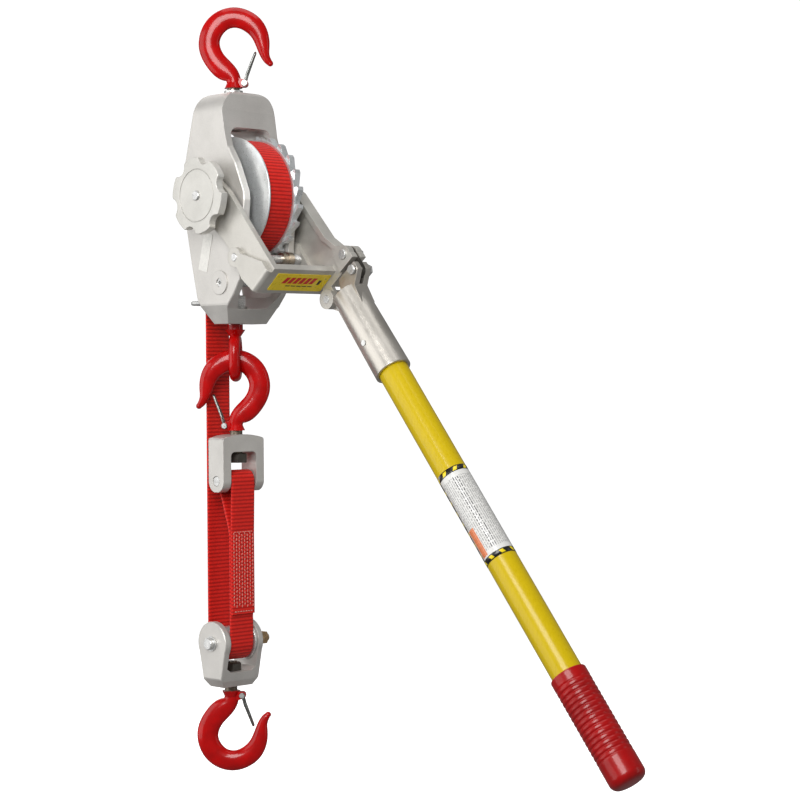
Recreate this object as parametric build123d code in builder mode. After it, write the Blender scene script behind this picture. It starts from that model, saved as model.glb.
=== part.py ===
from build123d import *
import os
from math import acos, atan2, cos, degrees, hypot, radians, sin

os.makedirs("parts", exist_ok=True)

# ---------------------------------------------------------------- driving dimensions, mm
# The origin is the seat of the top hook, where the winch hangs. X runs along the drum shaft,
# -Y is the lever side and +Z is up.
AXLE_Y, AXLE_Z = -17.0, -217.0       # drum shaft, from the hanging point
STRAP_WIDTH, STRAP_THICK = 38.0, 3.0
WOUND_RADIUS = 73.0                  # outside of the strap on the drum
CORE_RADIUS = 30.0
FLANGE_RADIUS = 76.0
SHAFT_RADIUS, SHAFT_END = 9.0, 66.0  # the shaft's shoulders stand this far out on both sides
STUD_RADIUS, STUD_LENGTH = 6.0, 12.0           # threaded ends of the shaft
RUN = 0.06                           # radial running clearance
SEAT = 0.03                          # radial gap of parts that don't turn on each other

TOOTH_COUNT = 22
TIP_RADIUS, ROOT_RADIUS = 79.5, 72.5
WHEEL_X, WHEEL_THICK = 22.5, 9.0     # ratchet wheel
TOOTH_PITCH = 360 / TOOTH_COUNT
TOOTH_START = 7.85                   # a steep tooth face stands just past each pawl's nose

FRAME_HALF, PLATE_THICK = 43.5, 10.0
FRAME_TOP, FRAME_BOTTOM = 133.0, -158.0        # from the drum shaft
BRIDGE_TOP, BRIDGE_BOTTOM = 87.0, -140.0       # window between the bridges
BUSH_RADIUS = 12.5
HOOK_NUT_POCKET = 17.0
GUIDE_BAR_RADIUS, GUIDE_HALF, GUIDE_LEG_END = 3.3, 38.0, 13.0
PAWL_PIN_RADIUS = 5.0                # both pawls turn on shafts of this size
HANDWHEEL_X, HANDWHEEL_THICK = -65.5, 10.0

YOKE_ANGLE = 229.0                   # crossbar direction about the shaft, from +Y towards +Z
ARM_INNER, ARM_OUTER = 47.0, 55.0
STRONG_INNER, STRONG_OUTER = 45.0, 63.0        # the arm that carries the handle
PAD_RISE = 6.5                       # corner pad above the light arm's face
CROSSBAR_INNER, CROSSBAR_OUTER = 143.0, 151.6

HANDLE_X, HANDLE_Y, HANDLE_Z = 51.7, -121.7, -298.0
HANDLE_TILT = 39.0                   # from straight down towards -Y
SOCKET_RADIUS, TUBE_RADIUS, GRIP_RADIUS = 22.5, 18.85, 22.0
SOCKET_TOP, SOCKET_END = 55.0, 178.0           # distances along the handle
TUBE_START, TUBE_END = 89.0, 700.0
GRIP_START, GRIP_END = 615.0, 757.0

HOOK_TURN = -45.0                    # the hooks' plane about Z
SHANK_RADIUS = 8.0
HOOK_SEAT = 76.4                     # collar to the inside of the bowl
LATCH_PIVOT = (14.5, 5.6)            # latch rivet, in the hook's plane
LATCH_RIVET_RADIUS = 1.9
EYE_SHANK_RADIUS = 6.0
TOP_HOOK_Z = -HOOK_SEAT
EYE_Z = -382.0                       # collar of the bottom eye
STRAP_HOOK_Z = -509.4
CLEVIS_TOP, CLEVIS_PIN_Z = -514.4, -573.0
SPOOL_RADIUS = 10.5
STRAP_PIN_RADIUS = 6.5               # clevis pin and sheave pin
STITCH_TOP, STITCH_BOTTOM = -638.0, -742.0     # where the strap's tail is sewn down
BLOCK_Y, BLOCK_Z = 14.0, -779.0      # sheave pin
BLOCK_BOTTOM, BLOCK_HALF, BLOCK_CHEEK = -835.0, 31.5, 8.0
SHEAVE_RADIUS = 20.0
LOAD_HOOK_Z = -842.0

FORK_LEFT = 40.0                     # left face of both forks of the handle joint
YOKE_KNUCKLE_LEFT, YOKE_KNUCKLE_RIGHT = 44.8, 51.0
SOCKET_KNUCKLE_LEFT = 51.4
YOKE_FORK_END, SOCKET_FORK_END = -31.5, -36.5  # the gap that lets the link bend, along the handle
LINK_Q = -32.0                       # link bolts, from the handle's centre line
UPPER_BOLT_T, LOWER_BOLT_T = -18.0, -43.0      # link bolts, along the handle
KNUCKLE_Q, KNUCKLE_T = 26.0, -41.0   # rear knuckle pin
LINK_X, LINK_THICK = 49.4, 4.8       # flat link between the forks
LINK_BOLT_RADIUS, KNUCKLE_PIN_RADIUS = 4.0, 5.0
RIVET_DISTANCE, RIVET_RADIUS = 133.0, 2.5      # socket rivet, along the handle

PAWL_R, PAWL_ANGLE = 95.0, 235.2     # driving pawl shaft about the drum shaft
HOLD_R, HOLD_ANGLE = 107.0, 267.0    # holding pawl pin about the drum shaft
DRIVE_NOSE = 252.0                   # driving pawl's nose, held off the teeth
STRAND_REAR_Y = BLOCK_Y + SHEAVE_RADIUS + STRAP_THICK / 2
STRAND_FRONT_Y = BLOCK_Y - SHEAVE_RADIUS - STRAP_THICK / 2
GUIDE_Z = AXLE_Z - 131.0


# ---------------------------------------------------------------- planes and shared shapes
def side(x):
    """Plane across the drum shaft: local x is +Y and local y is +Z, from the shaft."""
    return Plane(origin=(x, AXLE_Y, AXLE_Z), x_dir=(0, 1, 0), z_dir=(1, 0, 0))


def front(y=0.0):
    """Plane facing -Y: local x is +X and local y is +Z, from the shaft's height."""
    return Plane(origin=(0, y, AXLE_Z), x_dir=(1, 0, 0), z_dir=(0, -1, 0))


def yoke_side(x):
    """Side plane turned so that local x points from the shaft to the crossbar."""
    a = radians(YOKE_ANGLE)
    return Plane(origin=(x, AXLE_Y, AXLE_Z), x_dir=(0, cos(a), sin(a)), z_dir=(1, 0, 0))


def handle_side(x):
    """Side plane whose local y points up the handle and local x is square to it, to the rear."""
    a = radians(HANDLE_TILT)
    return Plane(origin=(x, HANDLE_Y, HANDLE_Z), x_dir=(0, cos(a), -sin(a)), z_dir=(1, 0, 0))


def along_handle(distance):
    """Plane square to the handle at a distance from its top, facing the grip."""
    a = radians(HANDLE_TILT)
    down = Vector(0, -sin(a), -cos(a))
    return Plane(origin=Vector(HANDLE_X, HANDLE_Y, HANDLE_Z) + down * distance, x_dir=(1, 0, 0), z_dir=down)


def level(z, x=0.0, y=0.0):
    return Plane(origin=(x, y, z), x_dir=(1, 0, 0), z_dir=(0, 0, 1))


def on_circle(radius, angle):
    return radius * cos(radians(angle)), radius * sin(radians(angle))


def save(piece, name):
    piece.part.label = name
    export_step(piece.part, f"parts/{name}.step")


def disc(plane, radius, length, bore=0.0, centre=(0, 0)):
    """Cylinder or ring along a plane's normal."""
    with BuildPart() as piece:
        with BuildSketch(plane):
            with Locations(centre):
                Circle(radius)
                if bore:
                    Circle(bore, mode=Mode.SUBTRACT)
        extrude(amount=length)
    return piece


def hex_nut(plane, across_flats, height, bore, centre=(0, 0)):
    with BuildPart() as nut:
        with BuildSketch(plane):
            with Locations(centre):
                RegularPolygon(across_flats / 2, 6, major_radius=False)
                Circle(bore, mode=Mode.SUBTRACT)
        extrude(amount=height)
        far_edges = nut.edges().filter_by(GeomType.LINE).group_by(Axis((0, 0, 0), plane.z_dir))[-1]
        chamfer(far_edges, height * 0.08)
    return nut


# ---------------------------------------------------------------- frame
def make_frame_casting():
    """Two side plates, joined by a deep top bridge and a thin bottom bridge."""
    outline = [
        (-12, FRAME_TOP), (-12, 108), (-17, 78), (-22, 62), (-36.4, 40.5), (-52.5, 4), (-53.2, -6),
        (-45.6, -89), (-42.4, -105), (-31, -122.6), (-16.5, -139), (-7, FRAME_BOTTOM),
        (20, FRAME_BOTTOM), (33, -137), (40.4, -126), (50.6, -83), (60.7, -36), (65.5, 0), (64, 36),
        (45, 106), (40, FRAME_TOP)]
    hold = on_circle(HOLD_R, HOLD_ANGLE)
    with BuildPart() as casting:
        with BuildSketch(side(0)) as plate:
            with BuildLine():
                Polyline(*outline, close=True)
            make_face()
            fillet(plate.vertices().group_by(Axis.Y)[-1], 8)
        extrude(amount=FRAME_HALF, both=True)
        with BuildSketch(front()) as face:
            with BuildLine():
                Polyline((-FRAME_HALF, FRAME_TOP), (-FRAME_HALF, -134), (-31.5, FRAME_BOTTOM),
                         (31.5, FRAME_BOTTOM), (FRAME_HALF, -134), (FRAME_HALF, FRAME_TOP), close=True)
            make_face()
            fillet(face.vertices().group_by(Axis.Y)[-1], 29)
        extrude(amount=120, both=True, mode=Mode.INTERSECT)
        rim = casting.faces().filter_by(Axis.X).edges().filter_by(lambda e: e.center().Z < AXLE_Z + 60)
        chamfer(rim, 1.2)
        inner = FRAME_HALF - PLATE_THICK
        with BuildSketch(front()) as window:
            with BuildLine():
                Polyline((-inner, BRIDGE_TOP), (-inner, -124), (-23, BRIDGE_BOTTOM), (23, BRIDGE_BOTTOM),
                         (inner, -124), (inner, BRIDGE_TOP), close=True)
            make_face()
            fillet(window.vertices().group_by(Axis.Y)[-1], 12)
            fillet(window.vertices().group_by(Axis.Y)[0], 5)
        extrude(amount=120, both=True, mode=Mode.SUBTRACT)
        # raised bosses round the holding pawl pin
        for x, way in ((-FRAME_HALF, -1), (FRAME_HALF, 1)):
            with BuildSketch(side(x)):
                with Locations(hold):
                    Circle(15)
            extrude(amount=1.8 * way)
        # bores: axle bushes, pawl pin, hook shank with its nut pocket, eye shank
        with BuildSketch(side(-60)):
            Circle(BUSH_RADIUS + SEAT)
            with Locations(hold):
                Circle(PAWL_PIN_RADIUS + SEAT)
        extrude(amount=120, mode=Mode.SUBTRACT)
        with BuildSketch(level(AXLE_Z + 60)):
            Circle(SHANK_RADIUS + RUN)
        extrude(amount=100, mode=Mode.SUBTRACT)
        with BuildSketch(level(AXLE_Z + 60)):
            Circle(HOOK_NUT_POCKET)
        extrude(amount=52, mode=Mode.SUBTRACT)
        with BuildSketch(level(AXLE_Z - 170)):
            Circle(EYE_SHANK_RADIUS + RUN)
        extrude(amount=50, mode=Mode.SUBTRACT)
        # holes for the legs of the strap guide, in the plates' rear edges
        for x in (-GUIDE_HALF, GUIDE_HALF):
            with BuildSketch(Plane(origin=(x, GUIDE_LEG_END - 1, GUIDE_Z), x_dir=(1, 0, 0), z_dir=(0, 1, 0))):
                Circle(GUIDE_BAR_RADIUS + SEAT)
            extrude(amount=48, mode=Mode.SUBTRACT)
    save(casting, "frame_casting")


def make_axle_bushes():
    """Bushes that carry the drum shaft inside and the yoke arm outside."""
    for name, start, end in (("axle_bush_left", -FRAME_HALF + PLATE_THICK, -ARM_OUTER - 0.5),
                             ("axle_bush_right", FRAME_HALF - PLATE_THICK, STRONG_OUTER + 0.5)):
        bush = disc(side(start), BUSH_RADIUS, end - start, bore=SHAFT_RADIUS + RUN)
        save(bush, name)


def make_strap_guide():
    """Round bar bent into a U behind the frame; it holds the strap in line."""
    rear_y = STRAND_REAR_Y + STRAP_THICK / 2 + 0.5 + GUIDE_BAR_RADIUS
    half, leg_end = GUIDE_HALF, GUIDE_LEG_END
    with BuildPart() as guide:
        with BuildLine() as path:
            FilletPolyline((-half, leg_end, GUIDE_Z), (-half, rear_y, GUIDE_Z), (half, rear_y, GUIDE_Z),
                           (half, leg_end, GUIDE_Z), radius=6)
        with BuildSketch(Plane(origin=path.line @ 0, z_dir=path.line % 0)):
            Circle(GUIDE_BAR_RADIUS)
        sweep()
    save(guide, "strap_guide")


def make_rating_plate():
    with BuildPart() as plate:
        with BuildSketch(Plane(origin=(-FRAME_HALF, AXLE_Y + 21.5, AXLE_Z - 68), x_dir=(0, 0.97, 0.25),
                               z_dir=(-1, 0, 0))):
            RectangleRounded(17, 48, 1.5)
        extrude(amount=0.5)
    save(plate, "rating_plate")


def make_holding_pawl_pin():
    centre = on_circle(HOLD_R, HOLD_ANGLE)
    half = FRAME_HALF + 0.5
    with BuildPart() as pin:
        with BuildSketch(side(-half)):
            with Locations(centre):
                Circle(PAWL_PIN_RADIUS)
        extrude(amount=2 * half)
        # recessed drive in each end
        for x, way in ((-half, 1), (half, -1)):
            with BuildSketch(side(x)):
                with Locations(centre):
                    RegularPolygon(2.6, 6)
            extrude(amount=4 * way, mode=Mode.SUBTRACT)
    save(pin, "holding_pawl_pin")


# ---------------------------------------------------------------- drum
def make_drum_shaft():
    with BuildPart() as shaft:
        with BuildSketch(side(-SHAFT_END)):
            Circle(SHAFT_RADIUS)
        extrude(amount=2 * SHAFT_END)
        for x, way in ((-SHAFT_END, -1), (SHAFT_END, 1)):
            with BuildSketch(side(x)):
                Circle(STUD_RADIUS)
            extrude(amount=STUD_LENGTH * way)
        chamfer(shaft.edges().filter_by(GeomType.CIRCLE).sort_by(Axis.X)[0], 0.8)
    save(shaft, "drum_shaft")


def make_drum_core():
    """Spool with the smooth zinc flange."""
    flange_x, flange_thick = -STRAP_WIDTH / 2 - 0.2, 2.6
    hub_radius, hub_length = 19, 9
    with BuildPart() as core:
        with BuildSketch(side(flange_x)):
            Circle(CORE_RADIUS)
        extrude(amount=-2 * flange_x)
        with BuildSketch(side(flange_x)):
            Circle(FLANGE_RADIUS)
        extrude(amount=-flange_thick)
        with BuildSketch(side(flange_x - flange_thick)):
            Circle(hub_radius)
        extrude(amount=-hub_length)
        with BuildSketch(side(-60)):
            Circle(SHAFT_RADIUS + SEAT)
        extrude(amount=120, mode=Mode.SUBTRACT)
        rim = core.faces().filter_by(GeomType.CYLINDER).sort_by(SortBy.RADIUS)[-1]
        fillet(rim.edges().filter_by(GeomType.CIRCLE), 0.9)
    save(core, "drum_core")


def make_ratchet_wheel():
    """Toothed wheel with the thin strap flange. The steep faces push back on the driving pawl."""
    with BuildSketch(side(WHEEL_X)) as tooth:
        with BuildLine():
            Polyline(on_circle(ROOT_RADIUS - 4, 0), on_circle(TIP_RADIUS, 0), on_circle(TIP_RADIUS, 3.2),
                     on_circle(ROOT_RADIUS - 0.2, TOOTH_PITCH * 0.92),
                     on_circle(ROOT_RADIUS - 4, TOOTH_PITCH * 0.92), close=True)
        make_face()
    with BuildPart() as wheel:
        with BuildSketch(side(WHEEL_X)):
            Circle(ROOT_RADIUS)
            with PolarLocations(0, TOOTH_COUNT, start_angle=TOOTH_START):
                add(tooth.sketch_local)
        extrude(amount=WHEEL_THICK)
        with BuildSketch(side(STRAP_WIDTH / 2 + 0.2)):
            Circle(FLANGE_RADIUS - 1)
        extrude(amount=WHEEL_X - STRAP_WIDTH / 2 - 0.2)
        with BuildSketch(side(0)):
            Circle(SHAFT_RADIUS + SEAT)
        extrude(amount=60, mode=Mode.SUBTRACT)
    save(wheel, "ratchet_wheel")


def make_wound_strap():
    wound = disc(side(-STRAP_WIDTH / 2), WOUND_RADIUS, STRAP_WIDTH, bore=CORE_RADIUS + SEAT)
    save(wound, "wound_strap")


def make_handwheel():
    """Six wide lobes, a turned ring on the face and a boss behind."""
    lobe_radius, first_lobe = 47.8, 16
    notch_radius, notch_distance = 11.5, 51.5
    ring_radius, boss_radius, boss_length = 32, 15, 8
    with BuildPart() as knob:
        with BuildSketch(side(HANDWHEEL_X)) as face:
            Circle(lobe_radius)
            with PolarLocations(notch_distance, 6, start_angle=first_lobe + 30):
                Circle(notch_radius, mode=Mode.SUBTRACT)
            fillet(face.vertices(), 3.5)
        extrude(amount=-HANDWHEEL_THICK)
        rim = knob.faces().filter_by(Axis.X).sort_by(Axis.X)[0]
        fillet(rim.edges(), 1.0)
        with BuildSketch(side(HANDWHEEL_X - HANDWHEEL_THICK)):
            Circle(ring_radius + 1.2)
            Circle(ring_radius, mode=Mode.SUBTRACT)
        extrude(amount=0.8, mode=Mode.SUBTRACT)
        with BuildSketch(side(HANDWHEEL_X)):
            Circle(boss_radius)
        extrude(amount=boss_length)
        with BuildSketch(side(-SHAFT_END)):
            Circle(SHAFT_RADIUS + SEAT)
        extrude(amount=boss_length + 2, mode=Mode.SUBTRACT)
        with BuildSketch(side(-SHAFT_END)):
            Circle(STUD_RADIUS + SEAT)
        extrude(amount=-HANDWHEEL_THICK - 4, mode=Mode.SUBTRACT)
    save(knob, "handwheel")


def make_shaft_nut():
    save(hex_nut(side(SHAFT_END + 0.2), 19, 9, STUD_RADIUS + SEAT), "shaft_nut")


# ---------------------------------------------------------------- yoke
def make_yoke():
    """U-shaped lever: a light left arm, a crossbar and a strong right arm with a forked end."""
    reach, edge = CROSSBAR_OUTER, -30
    pawl = on_circle(PAWL_R, PAWL_ANGLE - YOKE_ANGLE)
    slot_low, slot_high = 49.2, 54.4
    with BuildPart() as yoke:
        # left arm and crossbar
        with BuildSketch(yoke_side(-ARM_OUTER)):
            Circle(26)
            with BuildLine():
                Polyline((0, -26), (20, edge), (reach, edge), (reach, 12), (60, 16), (0, 26), close=True)
            make_face()
        extrude(amount=ARM_OUTER - ARM_INNER)
        with BuildSketch(yoke_side(-ARM_OUTER)):
            with BuildLine():
                Polyline((CROSSBAR_INNER, edge), (reach, edge), (reach, 12), (CROSSBAR_INNER, 12),
                         close=True)
            make_face()
        extrude(amount=ARM_OUTER + STRONG_OUTER)
        # raised corner pad with the pawl shaft boss
        with BuildSketch(yoke_side(-ARM_OUTER - PAD_RISE)):
            with Locations(pawl):
                Circle(12)
            with BuildLine():
                Polyline((98, -1), (134, -24), (reach, -24), (reach, 12), (145, 13), (124, 17.5), (108, 15),
                         (98, 20), close=True)
            make_face()
        extrude(amount=PAD_RISE + ARM_OUTER - ARM_INNER)
        # strong arm
        with BuildSketch(yoke_side(STRONG_INNER)):
            Circle(30)
            with Locations(pawl):
                Circle(12)
            with BuildLine():
                Polyline((0, -30), (26, -41), (106, -43), (128, -50), (140, -60), (reach, -60), (reach, 12),
                         (96, 16), (0, 30), close=True)
            make_face()
        extrude(amount=STRONG_OUTER - STRONG_INNER)
        # relief that leaves a rib round the strong arm's inside
        with BuildSketch(yoke_side(STRONG_INNER)):
            with BuildLine():
                Polyline((38, -34), (104, -36), (134, -46), (134, 2), (114, 2), (76, 0), (52, 10), (38, 10),
                         close=True)
            make_face()
        extrude(amount=5, mode=Mode.SUBTRACT)
        # forked end: two ears round the upper link bolt
        with BuildSketch(handle_side(FORK_LEFT)):
            with Locations((LINK_Q, UPPER_BOLT_T)):
                Circle(11)
            with BuildLine():
                Polyline((-20, 0), (-34, -6), (-43, -25), (-43, YOKE_FORK_END), (-14, YOKE_FORK_END),
                         (-14, -18), close=True)
            make_face()
        extrude(amount=STRONG_OUTER - FORK_LEFT)
        # foot of the fork and the knuckle plate beside it
        with BuildSketch(handle_side(YOKE_KNUCKLE_LEFT)):
            with BuildLine():
                Polyline((-14, -22), (-14, YOKE_FORK_END), (13, YOKE_FORK_END), (14, -24), (0, -14),
                         close=True)
            make_face()
        extrude(amount=STRONG_OUTER - YOKE_KNUCKLE_LEFT)
        with BuildSketch(handle_side(YOKE_KNUCKLE_LEFT)):
            with BuildLine():
                Polyline((0, -14), (0, YOKE_FORK_END), (13, YOKE_FORK_END), (KNUCKLE_Q - 12, KNUCKLE_T),
                         (KNUCKLE_Q + 10, -35), (20, -14), close=True)
            make_face()
        extrude(amount=YOKE_KNUCKLE_RIGHT - YOKE_KNUCKLE_LEFT)
        with BuildSketch(handle_side(FORK_LEFT)):
            with Locations((KNUCKLE_Q, KNUCKLE_T)):
                Circle(12.4)
        extrude(amount=YOKE_KNUCKLE_RIGHT - FORK_LEFT)
        # openings: link slot, bores
        with BuildSketch(handle_side(slot_low)):
            with BuildLine():
                Polyline((-60, -60), (-60, 8), (-24, 8), (-18, -16), (-18, -60), close=True)
            make_face()
        extrude(amount=slot_high - slot_low, mode=Mode.SUBTRACT)
        with BuildSketch(handle_side(20)):
            with Locations((LINK_Q, UPPER_BOLT_T)):
                Circle(LINK_BOLT_RADIUS + SEAT)
            with Locations((KNUCKLE_Q, KNUCKLE_T)):
                Circle(KNUCKLE_PIN_RADIUS + SEAT)
        extrude(amount=60, mode=Mode.SUBTRACT)
        with BuildSketch(yoke_side(-80)):
            Circle(BUSH_RADIUS + RUN)
            with Locations(pawl):
                Circle(PAWL_PIN_RADIUS + RUN)
        extrude(amount=160, mode=Mode.SUBTRACT)
        # round the crossbar's outer corners at the left end
        on_pad = yoke.edges().filter_by(lambda e: abs((e @ 0.5).X + ARM_OUTER + PAD_RISE) < 0.01)
        corner = on_pad.filter_by(
            lambda e: e.length > 30 and abs(hypot((e @ 0.5).Y - AXLE_Y, (e @ 0.5).Z - AXLE_Z) - 151) < 4)
        fillet(corner, 6)
    save(yoke, "yoke")


def make_front_plate():
    """Thin printed plate on the crossbar's face."""
    a = radians(YOKE_ANGLE)
    out = Vector(0, cos(a), sin(a))
    centre = Vector(0, AXLE_Y, AXLE_Z) + out * CROSSBAR_OUTER + Vector(0, -sin(a), cos(a)) * -8
    with BuildPart() as plate:
        with BuildSketch(Plane(origin=centre, x_dir=(1, 0, 0), z_dir=out)):
            RectangleRounded(87, 29, 1.2)
        extrude(amount=0.5)
    save(plate, "front_plate")


def make_pawl_shaft():
    centre = on_circle(PAWL_R, PAWL_ANGLE)
    with BuildPart() as shaft:
        with BuildSketch(side(-ARM_OUTER - PAD_RISE - 0.6)):
            with Locations(centre):
                Circle(PAWL_PIN_RADIUS)
        extrude(amount=ARM_OUTER + PAD_RISE + 0.6 + STRONG_OUTER)
        chamfer(shaft.edges().filter_by(GeomType.CIRCLE), 0.6)
    save(shaft, "pawl_shaft")


def make_driving_pawl():
    """Pushes the wheel on the down stroke. Its nose is lifted clear of the teeth here."""
    hub_r, nose_angle = PAWL_R, DRIVE_NOSE
    centre = on_circle(hub_r, PAWL_ANGLE)
    nose = on_circle(TIP_RADIUS + 3.2, nose_angle)
    nose_out = on_circle(TIP_RADIUS + 9.5, nose_angle)
    heel_in = on_circle(hub_r - 8.5, PAWL_ANGLE + 1)
    heel_out = on_circle(hub_r + 8.5, PAWL_ANGLE + 1)
    with BuildPart() as pawl:
        with BuildSketch(side(WHEEL_X + 0.5)):
            with Locations(centre):
                Circle(9.0)
            with BuildLine():
                Polyline(heel_in, on_circle(TIP_RADIUS + 4.2, 246), nose, nose_out, heel_out, close=True)
            make_face()
            with Locations(centre):
                Circle(PAWL_PIN_RADIUS + RUN, mode=Mode.SUBTRACT)
        extrude(amount=WHEEL_THICK - 1)
        with BuildSketch(side(WHEEL_X - 8)):
            with Locations(centre):
                Circle(8)
                Circle(PAWL_PIN_RADIUS + RUN, mode=Mode.SUBTRACT)
        extrude(amount=8.5)
    save(pawl, "driving_pawl")


def coil(start_x, centre, mean_radius, wire, turns, pitch):
    """Close-wound spring as a row of rings joined by a short bar."""
    y, z = AXLE_Y + centre[0], AXLE_Z + centre[1]
    wire_z = z + mean_radius
    with BuildPart() as spring:
        for i in range(turns):
            ring_start = (start_x + i * pitch, y, wire_z)
            with BuildSketch(Plane(origin=ring_start, x_dir=(1, 0, 0), z_dir=(0, 1, 0))):
                Circle(wire / 2)
            revolve(axis=Axis((0, y, z), (1, 0, 0)))
        with BuildSketch(Plane(origin=(start_x, y, wire_z), x_dir=(0, 1, 0), z_dir=(1, 0, 0))):
            Circle(wire * 0.45)
        extrude(amount=pitch * (turns - 1))
    return spring


def make_pawl_springs():
    drive = coil(WHEEL_X + WHEEL_THICK + 1, on_circle(PAWL_R, PAWL_ANGLE), 6.1, 1.5, 7, 1.6)
    save(drive, "driving_pawl_spring")
    hold = coil(WHEEL_X - 10.5, on_circle(HOLD_R, HOLD_ANGLE), 6.6, 1.8, 5, 1.9)
    save(hold, "holding_pawl_spring")


def make_holding_pawl():
    """Keeps the wheel from running back. Its nose is lifted clear of the teeth here."""
    centre = on_circle(HOLD_R, HOLD_ANGLE)
    nose_angle = DRIVE_NOSE + 2 * TOOTH_PITCH
    with BuildPart() as pawl:
        with BuildSketch(side(WHEEL_X + 0.5)):
            with Locations(centre):
                Circle(10)
            with BuildLine():
                Polyline(on_circle(HOLD_R - 9.5, HOLD_ANGLE + 1),
                         on_circle(TIP_RADIUS + 4.2, nose_angle - 4),
                         on_circle(TIP_RADIUS + 3.2, nose_angle), on_circle(TIP_RADIUS + 9.5, nose_angle),
                         on_circle(HOLD_R + 9, HOLD_ANGLE + 1), close=True)
            make_face()
            with Locations(centre):
                Circle(PAWL_PIN_RADIUS + RUN, mode=Mode.SUBTRACT)
        extrude(amount=WHEEL_THICK - 1)
    save(pawl, "holding_pawl")


def make_handle_link():
    """Flat link between the yoke's fork and the socket's fork; it bends if the winch is overloaded."""
    with BuildPart() as link:
        with BuildSketch(handle_side(LINK_X)):
            with Locations((LINK_Q, (UPPER_BOLT_T + LOWER_BOLT_T) / 2)):
                SlotOverall(45, 18, rotation=90)
            with Locations((LINK_Q, UPPER_BOLT_T), (LINK_Q, LOWER_BOLT_T)):
                Circle(LINK_BOLT_RADIUS + SEAT, mode=Mode.SUBTRACT)
        extrude(amount=LINK_THICK)
    save(link, "handle_link")


def link_bolt(t, name):
    """Bolt across a fork, with a low head on the left and a nut on the right."""
    with BuildPart() as bolt:
        with BuildSketch(handle_side(FORK_LEFT)):
            with Locations((LINK_Q, t)):
                Circle(LINK_BOLT_RADIUS)
        extrude(amount=STRONG_OUTER - FORK_LEFT + 3)
        with BuildSketch(handle_side(FORK_LEFT)):
            with Locations((LINK_Q, t)):
                Circle(6.2)
        extrude(amount=-2.4)
        with BuildSketch(handle_side(STRONG_OUTER + 0.1)):
            with Locations((LINK_Q, t)):
                RegularPolygon(6.5, 6, major_radius=False)
        extrude(amount=6)
        fillet(bolt.edges().filter_by(GeomType.CIRCLE).sort_by(Axis.X)[0], 1)
    save(bolt, name)


def make_knuckle_pin():
    """Pin through the yoke's knuckle plate and the socket's rear knuckle."""
    with BuildPart() as pin:
        with BuildSketch(handle_side(FORK_LEFT - 0.6)):
            with Locations((KNUCKLE_Q, KNUCKLE_T)):
                Circle(KNUCKLE_PIN_RADIUS)
        extrude(amount=STRONG_OUTER - FORK_LEFT + 0.2)
    save(pin, "knuckle_pin")


# ---------------------------------------------------------------- handle
def rivet_plane():
    """Plane through the handle's centre line, facing -X, for the rivet and its hole."""
    return Plane(origin=along_handle(RIVET_DISTANCE).origin, x_dir=(0, 1, 0), z_dir=(-1, 0, 0))


def make_handle_socket():
    """Cast socket: a tube for the handle, a fork for the link and a rear knuckle."""
    left, right = FORK_LEFT + 1, STRONG_OUTER
    with BuildPart() as socket:
        with BuildSketch(along_handle(SOCKET_TOP)):
            Circle(SOCKET_RADIUS - 0.8)
        with BuildSketch(along_handle(SOCKET_END)):
            Circle(SOCKET_RADIUS + 0.6)
        loft()
        with BuildSketch(handle_side(left)):
            with BuildLine():
                Polyline((-6, SOCKET_FORK_END), (-40, SOCKET_FORK_END), (-40.5, -48), (-23, -60), (-20, -84),
                         (12, -84), (5, -58), close=True)
            make_face()
        extrude(amount=right - left)
        with BuildSketch(handle_side(SOCKET_KNUCKLE_LEFT)):
            with Locations((KNUCKLE_Q, KNUCKLE_T)):
                Circle(12)
            with BuildLine():
                Polyline((14, -41), (-4, -52), (0, -70), (20, -70), (37, -46), close=True)
            make_face()
        extrude(amount=right - SOCKET_KNUCKLE_LEFT - 1)
        with BuildSketch(handle_side(LINK_X - 0.5)):
            with BuildLine():
                Polyline((-60, -30), (-60, -70), (-22, -58), (-8, -52), (-8, -30), close=True)
            make_face()
        extrude(amount=LINK_THICK + 1, mode=Mode.SUBTRACT)
        with BuildSketch(handle_side(20)):
            with Locations((LINK_Q, LOWER_BOLT_T)):
                Circle(LINK_BOLT_RADIUS + SEAT)
            with Locations((KNUCKLE_Q, KNUCKLE_T)):
                Circle(KNUCKLE_PIN_RADIUS + SEAT)
        extrude(amount=60, mode=Mode.SUBTRACT)
        with BuildSketch(along_handle(TUBE_START - 1)):
            Circle(TUBE_RADIUS + SEAT)
        extrude(amount=200, mode=Mode.SUBTRACT)
        with BuildSketch(rivet_plane()):
            Circle(RIVET_RADIUS + SEAT)
        extrude(amount=30, mode=Mode.SUBTRACT)
        fillet(socket.edges().filter_by(GeomType.CIRCLE).sort_by(Axis.Z)[:2], 1)
    save(socket, "handle_socket")


def make_socket_rivet():
    plane = rivet_plane()
    with BuildPart() as rivet:
        with BuildSketch(plane.offset(TUBE_RADIUS - 4.5)):
            Circle(RIVET_RADIUS)
        extrude(amount=8.6)
        with BuildSketch(plane.offset(SOCKET_RADIUS + 0.3)):
            Circle(3.6)
        extrude(amount=0.9)
    save(rivet, "socket_rivet")


def make_handle_tube():
    with BuildPart() as tube:
        with BuildSketch(along_handle(TUBE_START)):
            Circle(TUBE_RADIUS)
            Circle(TUBE_RADIUS - 4, mode=Mode.SUBTRACT)
        extrude(amount=TUBE_END - TUBE_START)
        with BuildSketch(rivet_plane()):
            Circle(RIVET_RADIUS + SEAT)
        extrude(amount=30, mode=Mode.SUBTRACT)
    save(tube, "handle_tube")


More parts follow.
